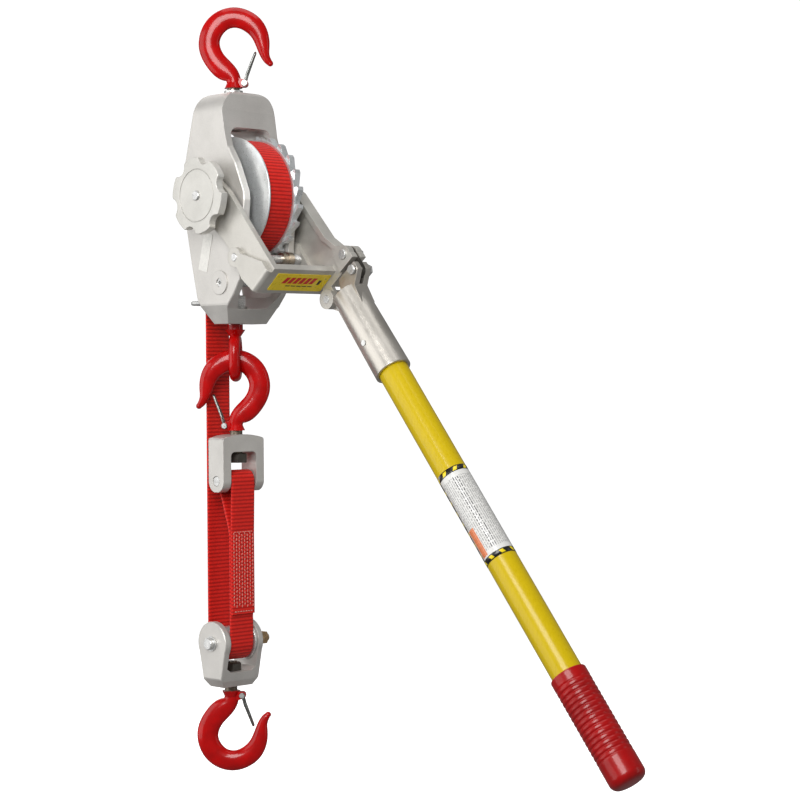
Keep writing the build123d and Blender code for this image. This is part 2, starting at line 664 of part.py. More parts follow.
def make_grip():
    """Moulded vinyl grip with two rows of short grooves and a rounded end."""
    groove_count, groove_pitch = 14, 6.4
    with BuildPart() as grip:
        with BuildSketch(along_handle(GRIP_START)):
            Circle(GRIP_RADIUS)
        extrude(amount=GRIP_END - GRIP_START)
        fillet(grip.edges().filter_by(GeomType.CIRCLE).sort_by(Axis.Z)[0], 9)
        fillet(grip.edges().filter_by(GeomType.CIRCLE).sort_by(Axis.Z)[-1], 1.2)
        with BuildSketch(along_handle(GRIP_START)):
            Circle(TUBE_RADIUS + SEAT)
        extrude(amount=TUBE_END - GRIP_START + 0.5, mode=Mode.SUBTRACT)
        for i in range(groove_count):
            with BuildSketch(along_handle(GRIP_START + 22 + i * groove_pitch)):
                for way in (-1, 1):
                    with Locations(((GRIP_RADIUS + 0.2) * way, 0)):
                        Rectangle(2.4, 22)
            extrude(amount=1.8, mode=Mode.SUBTRACT)
    save(grip, "grip")


# ---------------------------------------------------------------- hooks
def hook_plane(z, y, turn, way):
    """Plane of a hook: local x to its mouth, local y from its collar to its bowl."""
    a = radians(turn)
    return Plane(origin=(0, y, z), x_dir=(cos(a), sin(a), 0), z_dir=(way * sin(a), -way * cos(a), 0))


# Centre line of the forged hook from neck to nose: across, along, direction, depth and half thickness
HOOK_STATIONS = [
    (0, 6, 90, 17, 7.5), (-1, 13, 112, 20, 7.8), (-13, 24.5, 137, 27, 8.4), (-24.5, 38, 117, 27, 8.5),
    (-30.2, 55, 92, 27, 8.5), (-26.6, 71.5, 62, 27, 8.5), (-14.2, 85, 32, 26.5, 8.5), (2, 89.4, 0, 26, 8.5),
    (17, 85.4, -28, 25.5, 8.3), (29.3, 75.5, -50, 24, 7.9), (35.8, 62.6, -72, 20.5, 7.2),
    (38.6, 49, -80, 15.5, 6.2), (41.5, 38.6, -62, 11, 5.2), (46.6, 31.4, -47, 7.5, 4.0)]
HOOK_NOSE = (46.9, 31.1)


def forged_hook(z, y, turn, way, shank_length, shank_radius=SHANK_RADIUS):
    """Hook with a flared collar and a shank; the body is lofted through elliptical sections."""
    plane = hook_plane(z, y, turn, way)
    axis = Vector(0, 0, way)
    base = Plane(origin=(0, y, z), x_dir=(1, 0, 0), z_dir=axis)
    with BuildPart() as hook:
        for p, h, direction, depth, half in HOOK_STATIONS:
            a = radians(direction)
            along = plane.x_dir * cos(a) + plane.y_dir * sin(a)
            place = plane.from_local_coords((p, h, 0))
            with BuildSketch(Plane(origin=place, x_dir=plane.z_dir, z_dir=along)):
                Ellipse(half, depth / 2)
        loft()
        with Locations(plane.from_local_coords((*HOOK_NOSE, 0))):
            Sphere(3.9)
        with BuildSketch(base.offset(-0.2)):
            Circle(11.5)
        with BuildSketch(base.offset(7)):
            Circle(8.2)
        loft()
        with BuildSketch(base):
            Circle(shank_radius)
        extrude(amount=-shank_length)
        # latch boss beside the neck, with a cross bore
        with BuildSketch(plane.offset(-5.2)):
            with Locations(LATCH_PIVOT):
                Circle(4.6)
            with BuildLine():
                Polyline((2, 1), (14.5, 1), (14.5, 10.2), (2, 14), close=True)
            make_face()
        extrude(amount=10.4)
        with BuildSketch(plane.offset(-12)):
            with Locations(LATCH_PIVOT):
                Circle(LATCH_RIVET_RADIUS + SEAT)
        extrude(amount=24, mode=Mode.SUBTRACT)
    return hook


def wire_latch(z, y, turn, way):
    """Sprung wire loop that closes the mouth from the inside; its legs straddle the boss."""
    plane = hook_plane(z, y, turn, way)
    wire, leg, nose = 1.4, 7.6, 3.2
    with BuildPart() as latch:
        with BuildLine() as path:
            one_leg = [(*LATCH_PIVOT, leg), (17.6, 17, leg), (28.2, 44.6, nose)]
            points = one_leg + [(x, y, -z) for x, y, z in reversed(one_leg)]
            FilletPolyline(*[plane.from_local_coords(point) for point in points], radius=2.6)
        with BuildSketch(Plane(origin=path.line @ 0, z_dir=path.line % 0)):
            Circle(wire)
        sweep()
        # eyes round the rivet
        for start in (leg - 1.6, -leg - 1.6):
            with BuildSketch(plane.offset(start)):
                with Locations(LATCH_PIVOT):
                    Circle(3.8)
            extrude(amount=3.2)
        with BuildSketch(plane.offset(-12)):
            with Locations(LATCH_PIVOT):
                Circle(LATCH_RIVET_RADIUS + RUN)
        extrude(amount=24, mode=Mode.SUBTRACT)
    return latch


def latch_rivet(z, y, turn, way):
    plane = hook_plane(z, y, turn, way)
    with BuildPart() as rivet:
        with BuildSketch(plane.offset(-10.2)):
            with Locations(LATCH_PIVOT):
                Circle(LATCH_RIVET_RADIUS)
        extrude(amount=20.4)
        for start, length in ((9.4, 1.2), (-9.4, -1.2)):
            with BuildSketch(plane.offset(start)):
                with Locations(LATCH_PIVOT):
                    Circle(3.2)
            extrude(amount=length)
    return rivet


def make_hook_set(prefix, z, y, turn, way, shank_length, nut_at, nut_height=12):
    """One hook with its latch, latch rivet and swivel nut."""
    save(forged_hook(z, y, turn, way, shank_length), f"{prefix}_hook")
    save(wire_latch(z, y, turn, way), f"{prefix}_latch")
    save(latch_rivet(z, y, turn, way), f"{prefix}_latch_rivet")
    save(hex_nut(level(nut_at, y=y), 24, nut_height, SHANK_RADIUS + SEAT), f"{prefix}_hook_nut")


def make_top_hook_washer():
    washer = disc(level(AXLE_Z + FRAME_TOP + 0.1), 12, 4, bore=SHANK_RADIUS + SEAT)
    save(washer, "top_hook_washer")


# ---------------------------------------------------------------- bottom eye
def make_eye_bolt():
    """Forged eye whose oval ring stands square to the strap hook, with a collar and a shank."""
    a = radians(HOOK_TURN + 90)
    plane = Plane(origin=(0, 0, EYE_Z), x_dir=(cos(a), sin(a), 0), z_dir=(sin(a), -cos(a), 0))
    bar, half_width, top, bottom = 7.2, 20.2, -10.5, -58.8
    with BuildPart() as eye:
        with BuildLine(plane) as ring:
            CenterArc((0, top - half_width), half_width, 0, 180)
            Line((-half_width, top - half_width), (-half_width, bottom + half_width))
            CenterArc((0, bottom + half_width), half_width, 180, 180)
            Line((half_width, bottom + half_width), (half_width, top - half_width))
        with BuildSketch(Plane(origin=ring.line @ 0, z_dir=ring.line % 0)):
            Circle(bar)
        sweep()
        with BuildSketch(level(EYE_Z)):
            Circle(13)
        with BuildSketch(level(EYE_Z - 8)):
            Circle(7.4)
        loft()
        with BuildSketch(level(EYE_Z)):
            Circle(9.7)
        extrude(amount=6.6)
        with BuildSketch(level(EYE_Z)):
            Circle(EYE_SHANK_RADIUS)
        extrude(amount=50)
        with BuildSketch(level(EYE_Z + 50)):
            Circle(EYE_SHANK_RADIUS)
        extrude(amount=3, taper=40)
    save(eye, "eye_bolt")


def make_eye_nut_and_washer():
    floor = AXLE_Z + BRIDGE_BOTTOM
    washer_radius, washer_thick = 15.5, 4.0
    save(disc(level(floor + 0.1), washer_radius, washer_thick, bore=EYE_SHANK_RADIUS + SEAT), "eye_washer")
    save(hex_nut(level(floor + washer_thick + 0.3), 24, 14, EYE_SHANK_RADIUS + SEAT), "eye_nut")


# ---------------------------------------------------------------- strap clevis
def make_clevis():
    half_width, half_depth, window = 33.5, 14.5, 20.8
    bottom = CLEVIS_PIN_Z - 14
    with BuildPart() as clevis:
        with BuildSketch(Plane.XZ.offset(half_depth)) as face:
            with BuildLine():
                Polyline((-half_width, bottom), (-half_width, CLEVIS_TOP - 5), (half_width, CLEVIS_TOP - 5),
                         (half_width, bottom), close=True)
            make_face()
            with BuildLine():
                ThreePointArc((-half_width, CLEVIS_TOP - 5), (0, CLEVIS_TOP), (half_width, CLEVIS_TOP - 5))
                Line((half_width, CLEVIS_TOP - 5), (-half_width, CLEVIS_TOP - 5))
            make_face()
            fillet(face.vertices().group_by(Axis.Y)[-1], 4)
        extrude(amount=-2 * half_depth)
        with BuildSketch(Plane.XZ.offset(half_depth + 5)) as gap:
            with BuildLine():
                Polyline((-window, bottom - 5), (-window, CLEVIS_TOP - 22), (window, CLEVIS_TOP - 22),
                         (window, bottom - 5), close=True)
            make_face()
            fillet(gap.vertices().group_by(Axis.Y)[-1], 6)
        extrude(amount=-2 * half_depth - 10, mode=Mode.SUBTRACT)
        # round leg ends
        with BuildSketch(Plane.YZ.offset(-half_width - 5)):
            with Locations((0, CLEVIS_PIN_Z)):
                Circle(half_depth)
            with Locations((0, (CLEVIS_PIN_Z + CLEVIS_TOP) / 2 + 10)):
                Rectangle(2 * half_depth, CLEVIS_TOP - CLEVIS_PIN_Z + 20)
        extrude(amount=2 * half_width + 10, mode=Mode.INTERSECT)
        with BuildSketch(Plane.YZ.offset(-50)):
            with Locations((0, CLEVIS_PIN_Z)):
                Circle(STRAP_PIN_RADIUS + SEAT)
        extrude(amount=100, mode=Mode.SUBTRACT)
        with BuildSketch(level(CLEVIS_TOP - 30)):
            Circle(SHANK_RADIUS + RUN)
        extrude(amount=60, mode=Mode.SUBTRACT)
    save(clevis, "clevis")


def make_clevis_pin_and_spool():
    pin_plane = Plane(origin=(0, 0, CLEVIS_PIN_Z), x_dir=(0, 1, 0), z_dir=(1, 0, 0))
    with BuildPart() as pin:
        with BuildSketch(pin_plane.offset(-33)):
            Circle(STRAP_PIN_RADIUS)
        extrude(amount=66)
        chamfer(pin.edges().filter_by(GeomType.CIRCLE), 0.8)
    save(pin, "clevis_pin")
    save(disc(pin_plane.offset(-20), SPOOL_RADIUS, 40, bore=STRAP_PIN_RADIUS + SEAT), "clevis_spool")


# ---------------------------------------------------------------- straps
def make_front_strand():
    """Loop round the clevis spool; its tail is sewn to the outside of the strand down to the sheave."""
    loop_in, loop_out = SPOOL_RADIUS + 0.15, SPOOL_RADIUS + 0.15 + STRAP_THICK
    inner, outer = STRAND_FRONT_Y + STRAP_THICK / 2, STRAND_FRONT_Y - STRAP_THICK / 2
    tail = outer - STRAP_THICK
    with BuildPart() as strand:
        with BuildSketch(Plane.YZ.offset(-STRAP_WIDTH / 2)):
            with Locations((0, CLEVIS_PIN_Z)):
                Circle(loop_out)
            with BuildLine():
                Polyline((-loop_out, CLEVIS_PIN_Z), (tail, STITCH_TOP), (tail, STITCH_BOTTOM),
                         (outer, STITCH_BOTTOM), (outer, BLOCK_Z), (inner, BLOCK_Z), (inner, STITCH_TOP),
                         (loop_out, CLEVIS_PIN_Z), close=True)
            make_face()
            with Locations((0, CLEVIS_PIN_Z)):
                Circle(loop_in, mode=Mode.SUBTRACT)
            with BuildLine():
                Polyline((-loop_in, CLEVIS_PIN_Z), (outer - 0.3, STITCH_TOP + 9),
                         (outer + 0.3, STITCH_TOP + 9), (loop_in, CLEVIS_PIN_Z), close=True)
            make_face(mode=Mode.SUBTRACT)
        extrude(amount=STRAP_WIDTH)
    save(strand, "strap_front")


def make_rear_strand():
    """Leaves the drum at a tangent, passes inside the guide bar and runs down to the sheave."""
    roll = WOUND_RADIUS + 0.4
    inner, outer = STRAND_REAR_Y - STRAP_THICK / 2, STRAND_REAR_Y + STRAP_THICK / 2
    across, down = inner - AXLE_Y, GUIDE_Z - AXLE_Z
    leave = degrees(atan2(down, across)) + degrees(acos(roll / hypot(across, down)))
    (y1, z1), (y2, z2) = on_circle(roll, leave), on_circle(roll + STRAP_THICK, leave)
    with BuildPart() as strand:
        with BuildSketch(Plane.YZ.offset(-STRAP_WIDTH / 2)):
            with BuildLine():
                Polyline((AXLE_Y + y1, AXLE_Z + z1), (AXLE_Y + y2, AXLE_Z + z2), (outer, GUIDE_Z),
                         (outer, BLOCK_Z), (inner, BLOCK_Z), (inner, GUIDE_Z), close=True)
            make_face()
        extrude(amount=STRAP_WIDTH)
    save(strand, "strap_rear")


def make_strap_wrap():
    """Half turn of strap under the sheave."""
    with BuildPart() as wrap:
        with BuildSketch(Plane.YZ.offset(-STRAP_WIDTH / 2)):
            with Locations((BLOCK_Y, BLOCK_Z)):
                Circle(SHEAVE_RADIUS + STRAP_THICK)
                Circle(SHEAVE_RADIUS + 0.35, mode=Mode.SUBTRACT)
            with Locations((BLOCK_Y, BLOCK_Z + 50)):
                Rectangle(100, 100, mode=Mode.SUBTRACT)
        extrude(amount=STRAP_WIDTH)
    save(wrap, "strap_wrap")


# ---------------------------------------------------------------- lower block
def make_block_casting():
    """Cheeks with round tops that taper into a bottom bridge with cut corners."""
    half, cheek, bottom, round_top = BLOCK_HALF, BLOCK_CHEEK, BLOCK_BOTTOM, 27.5
    with BuildPart() as block:
        with BuildSketch(Plane.YZ.offset(-half)) as plate:
            with Locations((BLOCK_Y, BLOCK_Z)):
                Circle(round_top)
            with BuildLine():
                Polyline((BLOCK_Y - round_top, BLOCK_Z), (BLOCK_Y - 17.5, bottom + 8), (BLOCK_Y - 14, bottom),
                         (BLOCK_Y + 12, bottom), (BLOCK_Y + 17, bottom + 8), (BLOCK_Y + round_top, BLOCK_Z),
                         close=True)
            make_face()
        extrude(amount=2 * half)
        with BuildSketch(Plane.XZ.offset(40)):
            with BuildLine():
                Polyline((-half, BLOCK_Z + 40), (-half, bottom + 11), (-half + 8, bottom),
                         (half - 8, bottom), (half, bottom + 11), (half, BLOCK_Z + 40), close=True)
            make_face()
        extrude(amount=-90, mode=Mode.INTERSECT)
        chamfer(block.faces().filter_by(Axis.X).edges().filter_by(lambda e: e.length > 20), 1.0)
        with BuildSketch(Plane.XZ.offset(40)) as window:
            with BuildLine():
                Polyline((-half + cheek, BLOCK_Z + 40), (-half + cheek, bottom + 24), (-16, bottom + 19),
                         (16, bottom + 19), (half - cheek, bottom + 24), (half - cheek, BLOCK_Z + 40),
                         close=True)
            make_face()
        extrude(amount=-90, mode=Mode.SUBTRACT)
        with BuildSketch(Plane.YZ.offset(-50)):
            with Locations((BLOCK_Y, BLOCK_Z)):
                Circle(STRAP_PIN_RADIUS + SEAT)
        extrude(amount=100, mode=Mode.SUBTRACT)
        with BuildSketch(level(bottom - 5, y=BLOCK_Y)):
            Circle(SHANK_RADIUS + RUN)
        extrude(amount=60, mode=Mode.SUBTRACT)
    save(block, "block_casting")


def make_block_pin():
    """Bolt with a washer face and a round head on the left; the brass nut is on the right."""
    head, shoulder, stud_radius = 39, 47, 5
    plane = Plane(origin=(0, BLOCK_Y, BLOCK_Z), x_dir=(0, 1, 0), z_dir=(1, 0, 0))
    with BuildPart() as pin:
        with BuildSketch(plane.offset(-head)):
            Circle(STRAP_PIN_RADIUS)
        extrude(amount=head + shoulder)
        with BuildSketch(plane.offset(-BLOCK_HALF - 2.1)):
            Circle(9.5)
        extrude(amount=1.9)
        with BuildSketch(plane.offset(-head)):
            Circle(7.6)
        extrude(amount=5.6)
        chamfer(pin.edges().filter_by(GeomType.CIRCLE).sort_by(Axis.X)[0], 0.8)
        with BuildSketch(plane.offset(shoulder)):
            Circle(stud_radius)
        extrude(amount=14)
    save(pin, "block_pin")
    with BuildPart() as washer:
        with BuildSketch(plane.offset(BLOCK_HALF + 0.2)):
            Circle(12.5)
            Circle(STRAP_PIN_RADIUS + SEAT, mode=Mode.SUBTRACT)
        extrude(amount=7)
    save(washer, "block_pin_washer")
    save(hex_nut(plane.offset(shoulder + 0.2), 15, 11, stud_radius + SEAT), "block_pin_nut")


def make_sheave():
    half, rim_height, rim_thick = 22.8, 5, 3
    plane = Plane(origin=(0, BLOCK_Y, BLOCK_Z), x_dir=(0, 1, 0), z_dir=(1, 0, 0))
    with BuildPart() as sheave:
        with BuildSketch(plane.offset(-half)):
            Circle(SHEAVE_RADIUS)
        extrude(amount=2 * half)
        for start, length in ((-half, rim_thick), (half, -rim_thick)):
            with BuildSketch(plane.offset(start)):
                Circle(SHEAVE_RADIUS + rim_height)
            extrude(amount=length)
        with BuildSketch(plane.offset(-30)):
            Circle(STRAP_PIN_RADIUS + RUN)
        extrude(amount=60, mode=Mode.SUBTRACT)
        fillet(sheave.faces().filter_by(GeomType.CYLINDER).edges().filter_by(GeomType.CIRCLE)
               .filter_by(lambda e: e.radius > SHEAVE_RADIUS + rim_height - 1), 0.9)
    save(sheave, "sheave")


# ---------------------------------------------------------------- build
make_frame_casting()
make_axle_bushes()
make_strap_guide()
make_rating_plate()
make_holding_pawl_pin()
make_drum_shaft()
make_drum_core()
make_ratchet_wheel()
make_wound_strap()
make_handwheel()
make_shaft_nut()
make_yoke()
make_front_plate()
make_pawl_shaft()
make_driving_pawl()
make_holding_pawl()
make_pawl_springs()
make_handle_link()
link_bolt(UPPER_BOLT_T, "link_bolt_upper")
link_bolt(LOWER_BOLT_T, "link_bolt_lower")
make_knuckle_pin()
make_handle_socket()
make_socket_rivet()
make_handle_tube()
make_grip()
make_hook_set("top", TOP_HOOK_Z, 0, HOOK_TURN, 1, 52, AXLE_Z + 94)
make_top_hook_washer()
make_eye_bolt()
make_eye_nut_and_washer()
make_hook_set("strap", STRAP_HOOK_Z, 0, HOOK_TURN + 180, 1, 38, CLEVIS_TOP - 36)
make_clevis()
make_clevis_pin_and_spool()
make_front_strand()
make_rear_strand()
make_strap_wrap()
make_block_casting()
make_block_pin()
make_sheave()
make_hook_set("load", LOAD_HOOK_Z, BLOCK_Y, HOOK_TURN, -1, 38, BLOCK_BOTTOM + 19.4, nut_height=10)
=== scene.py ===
"""Web-strap ratchet hoist: materials, webbing, stitching, grip, label and studio round the CAD frame."""
import bpy
import bmesh
import math
from mathutils import Matrix, Vector


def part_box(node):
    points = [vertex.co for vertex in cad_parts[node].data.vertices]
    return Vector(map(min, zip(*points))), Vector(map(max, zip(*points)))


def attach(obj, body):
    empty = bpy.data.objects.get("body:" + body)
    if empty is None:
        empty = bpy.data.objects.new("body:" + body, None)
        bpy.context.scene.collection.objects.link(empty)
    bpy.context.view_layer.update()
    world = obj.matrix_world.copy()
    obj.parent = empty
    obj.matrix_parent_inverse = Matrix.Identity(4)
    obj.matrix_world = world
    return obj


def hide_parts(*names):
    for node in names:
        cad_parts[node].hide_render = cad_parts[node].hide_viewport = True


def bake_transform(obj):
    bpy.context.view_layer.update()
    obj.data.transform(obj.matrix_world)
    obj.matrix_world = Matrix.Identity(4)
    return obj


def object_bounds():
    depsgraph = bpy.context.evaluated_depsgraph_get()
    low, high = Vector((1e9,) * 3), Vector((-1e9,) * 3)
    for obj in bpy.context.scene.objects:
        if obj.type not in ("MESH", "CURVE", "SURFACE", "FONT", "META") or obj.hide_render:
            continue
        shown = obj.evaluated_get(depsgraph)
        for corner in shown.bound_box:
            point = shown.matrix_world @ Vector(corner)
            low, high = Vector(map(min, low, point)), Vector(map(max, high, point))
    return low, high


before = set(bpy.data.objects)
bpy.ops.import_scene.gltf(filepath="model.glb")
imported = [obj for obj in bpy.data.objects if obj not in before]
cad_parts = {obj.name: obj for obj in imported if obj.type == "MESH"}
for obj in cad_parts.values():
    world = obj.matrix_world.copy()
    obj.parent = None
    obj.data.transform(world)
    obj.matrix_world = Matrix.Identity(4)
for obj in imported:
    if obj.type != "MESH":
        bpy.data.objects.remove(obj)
cad_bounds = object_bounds()

MM = 0.001

# ---------------------------------------------------------------- webbing sizes
STRAP_WIDTH = 38 * MM
STRAP_THICK = 3 * MM
RIB_PITCH = 4.7 * MM            # one filling yarn to the next
RIB_DEPTH = 0.34 * MM
STEPS_PER_RIB = 8
YARN_PITCH = 0.95 * MM          # lengthwise yarns
SECTION_FLATS = 9               # points across each flat of the strap's section
STITCH_TOP, STITCH_BOTTOM = -638 * MM, -742 * MM

# ---------------------------------------------------------------- handle and its label
HANDLE_TILT = math.radians(39)  # from straight down towards -Y
LABEL_START, LABEL_LENGTH = 0.3325, 0.1255      # from the handle's joint point
HANDLE_POINT = Vector((51.7, -121.7, -298)) * MM


def linear(red, green, blue):
    """Linear colour from an 8-bit display colour."""
    def channel(value):
        value = value / 255
        return value / 12.92 if value <= 0.04045 else ((value + 0.055) / 1.055) ** 2.4
    return (channel(red), channel(green), channel(blue), 1.0)


def dimmed(colour, share):
    """The same colour with its light cut to a share."""
    return tuple(share * c for c in colour[:3]) + (1.0,)


# ---------------------------------------------------------------- shader helpers
class Shader:
    """A Principled material and short calls for the nodes that feed it."""

    def __init__(self, name, **sockets):
        self.material = bpy.data.materials.new(name)
        self.material.use_nodes = True
        self.tree = self.material.node_tree
        self.bsdf = self.tree.nodes["Principled BSDF"]
        for socket, value in sockets.items():
            self.bsdf.inputs[socket.replace("_", " ")].default_value = value

    def node(self, kind, **settings):
        made = self.tree.nodes.new(kind)
        for key, value in settings.items():
            setattr(made, key, value)
        return made

    def feed(self, socket, value):
        """Links an output to a socket, or sets the socket's own value."""
        if isinstance(value, bpy.types.NodeSocket):
            self.tree.links.new(value, socket)
        else:
            socket.default_value = value

    def position(self, stretch=(1, 1, 1)):
        place = self.node("ShaderNodeTexCoord").outputs["Object"]
        if stretch == (1, 1, 1):
            return place
        mapping = self.node("ShaderNodeMapping")
        mapping.inputs["Scale"].default_value = stretch
        self.feed(mapping.inputs["Vector"], place)
        return mapping.outputs["Vector"]

    def strip(self):
        """(across, along) in metres from the piece's own map."""
        uv = self.node("ShaderNodeUVMap", uv_map="strip")
        parts = self.node("ShaderNodeSeparateXYZ")
        self.feed(parts.inputs[0], uv.outputs["UV"])
        return parts.outputs["X"], parts.outputs["Y"]

    def noise(self, scale, detail=3.0, roughness=0.5, where=None):
        made = self.node("ShaderNodeTexNoise")
        made.inputs["Scale"].default_value = scale
        made.inputs["Detail"].default_value = detail
        made.inputs["Roughness"].default_value = roughness
        self.feed(made.inputs["Vector"], where if where is not None else self.position())
        return made.outputs["Fac"]

    def math(self, operation, a, b=0.0, c=0.0):
        made = self.node("ShaderNodeMath", operation=operation)
        for socket, value in zip(made.inputs, (a, b, c)):
            self.feed(socket, value)
        return made.outputs[0]

    def spread(self, value, low, high, to_low=0.0, to_high=1.0, smooth=False):
        made = self.node("ShaderNodeMapRange", interpolation_type="SMOOTHSTEP" if smooth else "LINEAR")
        for socket, number in zip(made.inputs, (value, low, high, to_low, to_high)):
            self.feed(socket, number)
        return made.outputs[0]

    def blend(self, factor, first, second):
        made = self.node("ShaderNodeMix", data_type="RGBA")
        self.feed(made.inputs["Factor"], factor)
        self.feed(made.inputs["A"], first)
        self.feed(made.inputs["B"], second)
        return made.outputs["Result"]

    def colour(self, value):
        self.feed(self.bsdf.inputs["Base Color"], value)

    def roughness(self, value):
        self.feed(self.bsdf.inputs["Roughness"], value)

    def bump(self, height, distance, strength=1.0, edge=0.0):
        """Bump in metres; edge is the radius that sharp corners are softened by."""
        made = self.node("ShaderNodeBump")
        made.inputs["Strength"].default_value = strength
        made.inputs["Distance"].default_value = distance
        self.feed(made.inputs["Height"], height)
        if edge:
            soft = self.node("ShaderNodeBevel", samples=6)
            soft.inputs["Radius"].default_value = edge
            self.feed(made.inputs["Normal"], soft.outputs[0])
        self.feed(self.bsdf.inputs["Normal"], made.outputs[0])


# ---------------------------------------------------------------- materials
def cast_metal(name, light, dark, rough, metallic=0.6, grain=1300.0):
    """Tumbled aluminium casting: cloudy tone, fine grain and a few soft dents."""
    s = Shader(name, Metallic=metallic)
    cloud = s.noise(26, 4, 0.6)
    fine = s.noise(grain, 2, 0.6)
    tone = s.spread(s.math("MULTIPLY_ADD", fine, 0.35, s.math("MULTIPLY", cloud, 0.65)), 0.38, 0.62)
    s.colour(s.blend(tone, dark, light))
    s.roughness(s.spread(cloud, 0.3, 0.7, rough - 0.05, rough + 0.07))
    dents = s.spread(s.noise(170, 2, 0.4), 0.3, 0.7)
    s.bump(s.math("MULTIPLY_ADD", dents, 0.8, s.math("MULTIPLY", fine, 0.35)), 0.00012, 0.55, edge=0.0007)
    return s.material


def plated_steel(name, colour, rough, metallic=1.0, stretch=(1, 1, 1), mottled=0.28):
    """Zinc-plated or bare steel: a mottled tone and fine drawn lines."""
    s = Shader(name, Metallic=metallic)
    mottle = s.noise(140, 3, 0.6)
    lines = s.noise(900, 2, 0.5, s.position(stretch))
    s.colour(s.blend(s.spread(mottle, 0.35, 0.65), dimmed(colour, 1 - mottled), colour))
    s.roughness(s.spread(lines, 0.3, 0.7, rough - 0.06, rough + 0.08))
    s.bump(lines, 0.00004, 0.5, edge=0.0004)
    return s.material


def red_enamel(name, shank_start, shank_up):
    """Glossy paint over a forging, dappled by hammer marks; the shank past its collar is bare steel."""
    s = Shader(name, Specular_IOR_Level=0.2, Coat_Weight=0.4, Coat_Roughness=0.08)
    forged = s.noise(62, 3, 0.55)
    peel = s.noise(420, 2, 0.5)
    place = s.node("ShaderNodeSeparateXYZ")
    s.feed(place.inputs[0], s.position())
    bare = s.math("GREATER_THAN" if shank_up else "LESS_THAN", place.outputs["Z"], shank_start)
    paint = s.blend(s.spread(forged, 0.32, 0.68), linear(160, 0, 0), linear(184, 0, 0))
    steel = s.blend(s.spread(peel, 0.3, 0.7), linear(96, 86, 74), linear(136, 124, 110))
    s.colour(s.blend(bare, paint, steel))
    s.feed(s.bsdf.inputs["Metallic"], s.math("MULTIPLY", bare, 0.9))
    s.roughness(s.spread(bare, 0.0, 1.0, 0.26, 0.4))
    s.bump(s.math("MULTIPLY_ADD", forged, 1.0, s.math("MULTIPLY", peel, 0.12)), 0.0006, 0.6, edge=0.0008)
    return s.material


def webbing_material(name, ridge, groove_shade_colour):
    """Woven polyester: bright ridges, grooves darkened by painted shade, fine lengthwise yarns and fuzz."""
    s = Shader(name, Roughness=0.55, Sheen_Weight=0.06, Sheen_Roughness=0.4, Specular_IOR_Level=0.25)
    across, along = s.strip()
    phase = s.math("FRACT", s.math("DIVIDE", along, RIB_PITCH))
    from_middle = s.math("ABSOLUTE", s.math("SUBTRACT", phase, 0.5))
    shade = s.spread(from_middle, 0.1, 0.5, smooth=True)
    yarn = s.math("SINE", s.math("MULTIPLY", across, 2 * math.pi / YARN_PITCH))
    mottle = s.noise(330, 3, 0.6)
    body = s.blend(s.spread(mottle, 0.3, 0.7), dimmed(ridge, 0.8), ridge)
    # painted shade: the colour turns to the darker groove colour in each groove between filling yarns
    s.colour(s.blend(s.math("MULTIPLY", shade, 0.8), body, groove_shade_colour))
    s.bump(s.math("MULTIPLY_ADD", yarn, 0.5, s.math("MULTIPLY", mottle, 0.6)), 0.00012, 0.6)
    return s.material


def thread_material():
    """Twisted pale thread."""
    s = Shader("stitch_thread", Roughness=0.55, Sheen_Weight=0.3)
    twist = s.noise(1500, 2, 0.5, s.position((1, 1, 0.35)))
    s.colour(s.blend(s.spread(twist, 0.35, 0.65), linear(205, 112, 100), linear(232, 160, 146)))
    s.bump(twist, 0.0001, 0.6)
    return s.material


def gloss_tube():
    """Pultruded fibreglass handle: deep yellow gel coat with faint lengthwise streaks."""
    s = Shader("yellow_fibreglass", Specular_IOR_Level=0.22, Coat_Weight=0.25, Coat_Roughness=0.15)
    lean = Matrix.Rotation(-HANDLE_TILT, 3, "X")
    turned = s.node("ShaderNodeMapping", vector_type="POINT")
    turned.inputs["Rotation"].default_value = lean.to_euler()
    turned.inputs["Scale"].default_value = (1, 1, 0.03)
    s.feed(turned.inputs["Vector"], s.position())
    streak = s.noise(420, 3, 0.6, turned.outputs["Vector"])
    s.colour(s.blend(s.spread(streak, 0.3, 0.7), linear(192, 165, 0), linear(200, 173, 0)))
    s.roughness(s.spread(streak, 0.3, 0.7, 0.25, 0.36))
    s.bump(streak, 0.00005, 0.5)
    return s.material


def grip_vinyl():
    """Dipped vinyl grip: saturated red, rubbery sheen, slightly pebbled."""
    s = Shader("red_vinyl", Specular_IOR_Level=0.25, Coat_Weight=0.3, Coat_Roughness=0.12)
    pebble = s.noise(900, 2, 0.5)
    cloud = s.noise(45, 3, 0.5)
    s.colour(s.blend(s.spread(cloud, 0.3, 0.7), linear(142, 0, 1), linear(166, 0, 2)))
    s.roughness(s.spread(pebble, 0.3, 0.7, 0.28, 0.42))
    s.bump(pebble, 0.00009, 0.5, edge=0.0006)
    return s.material


def print_material(name, colour, rough=0.35, **sockets):
    """Printed or painted plate, slightly faded in patches."""
    s = Shader(name, **sockets)
    wear = s.noise(260, 4, 0.65)
    s.colour(s.blend(s.spread(wear, 0.35, 0.6), dimmed(colour, 0.88), colour))
    s.roughness(s.spread(wear, 0.3, 0.7, rough - 0.05, rough + 0.1))
    s.bump(wear, 0.00002, 0.5)
    return s.material


def dress(node, material):
    """Gives a carried-over CAD node its finish."""
    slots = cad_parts[node].data.materials
    if not slots:
        slots.append(material)
    for index in range(len(slots)):
        slots[index] = material


# heights of the collars where paint gives way to bare shank
TOP_COLLAR, STRAP_COLLAR, EYE_COLLAR, LOAD_COLLAR = -76.4 * MM, -509.4 * MM, -375.4 * MM, -842.0 * MM
COLLAR_GAP = 0.4 * MM

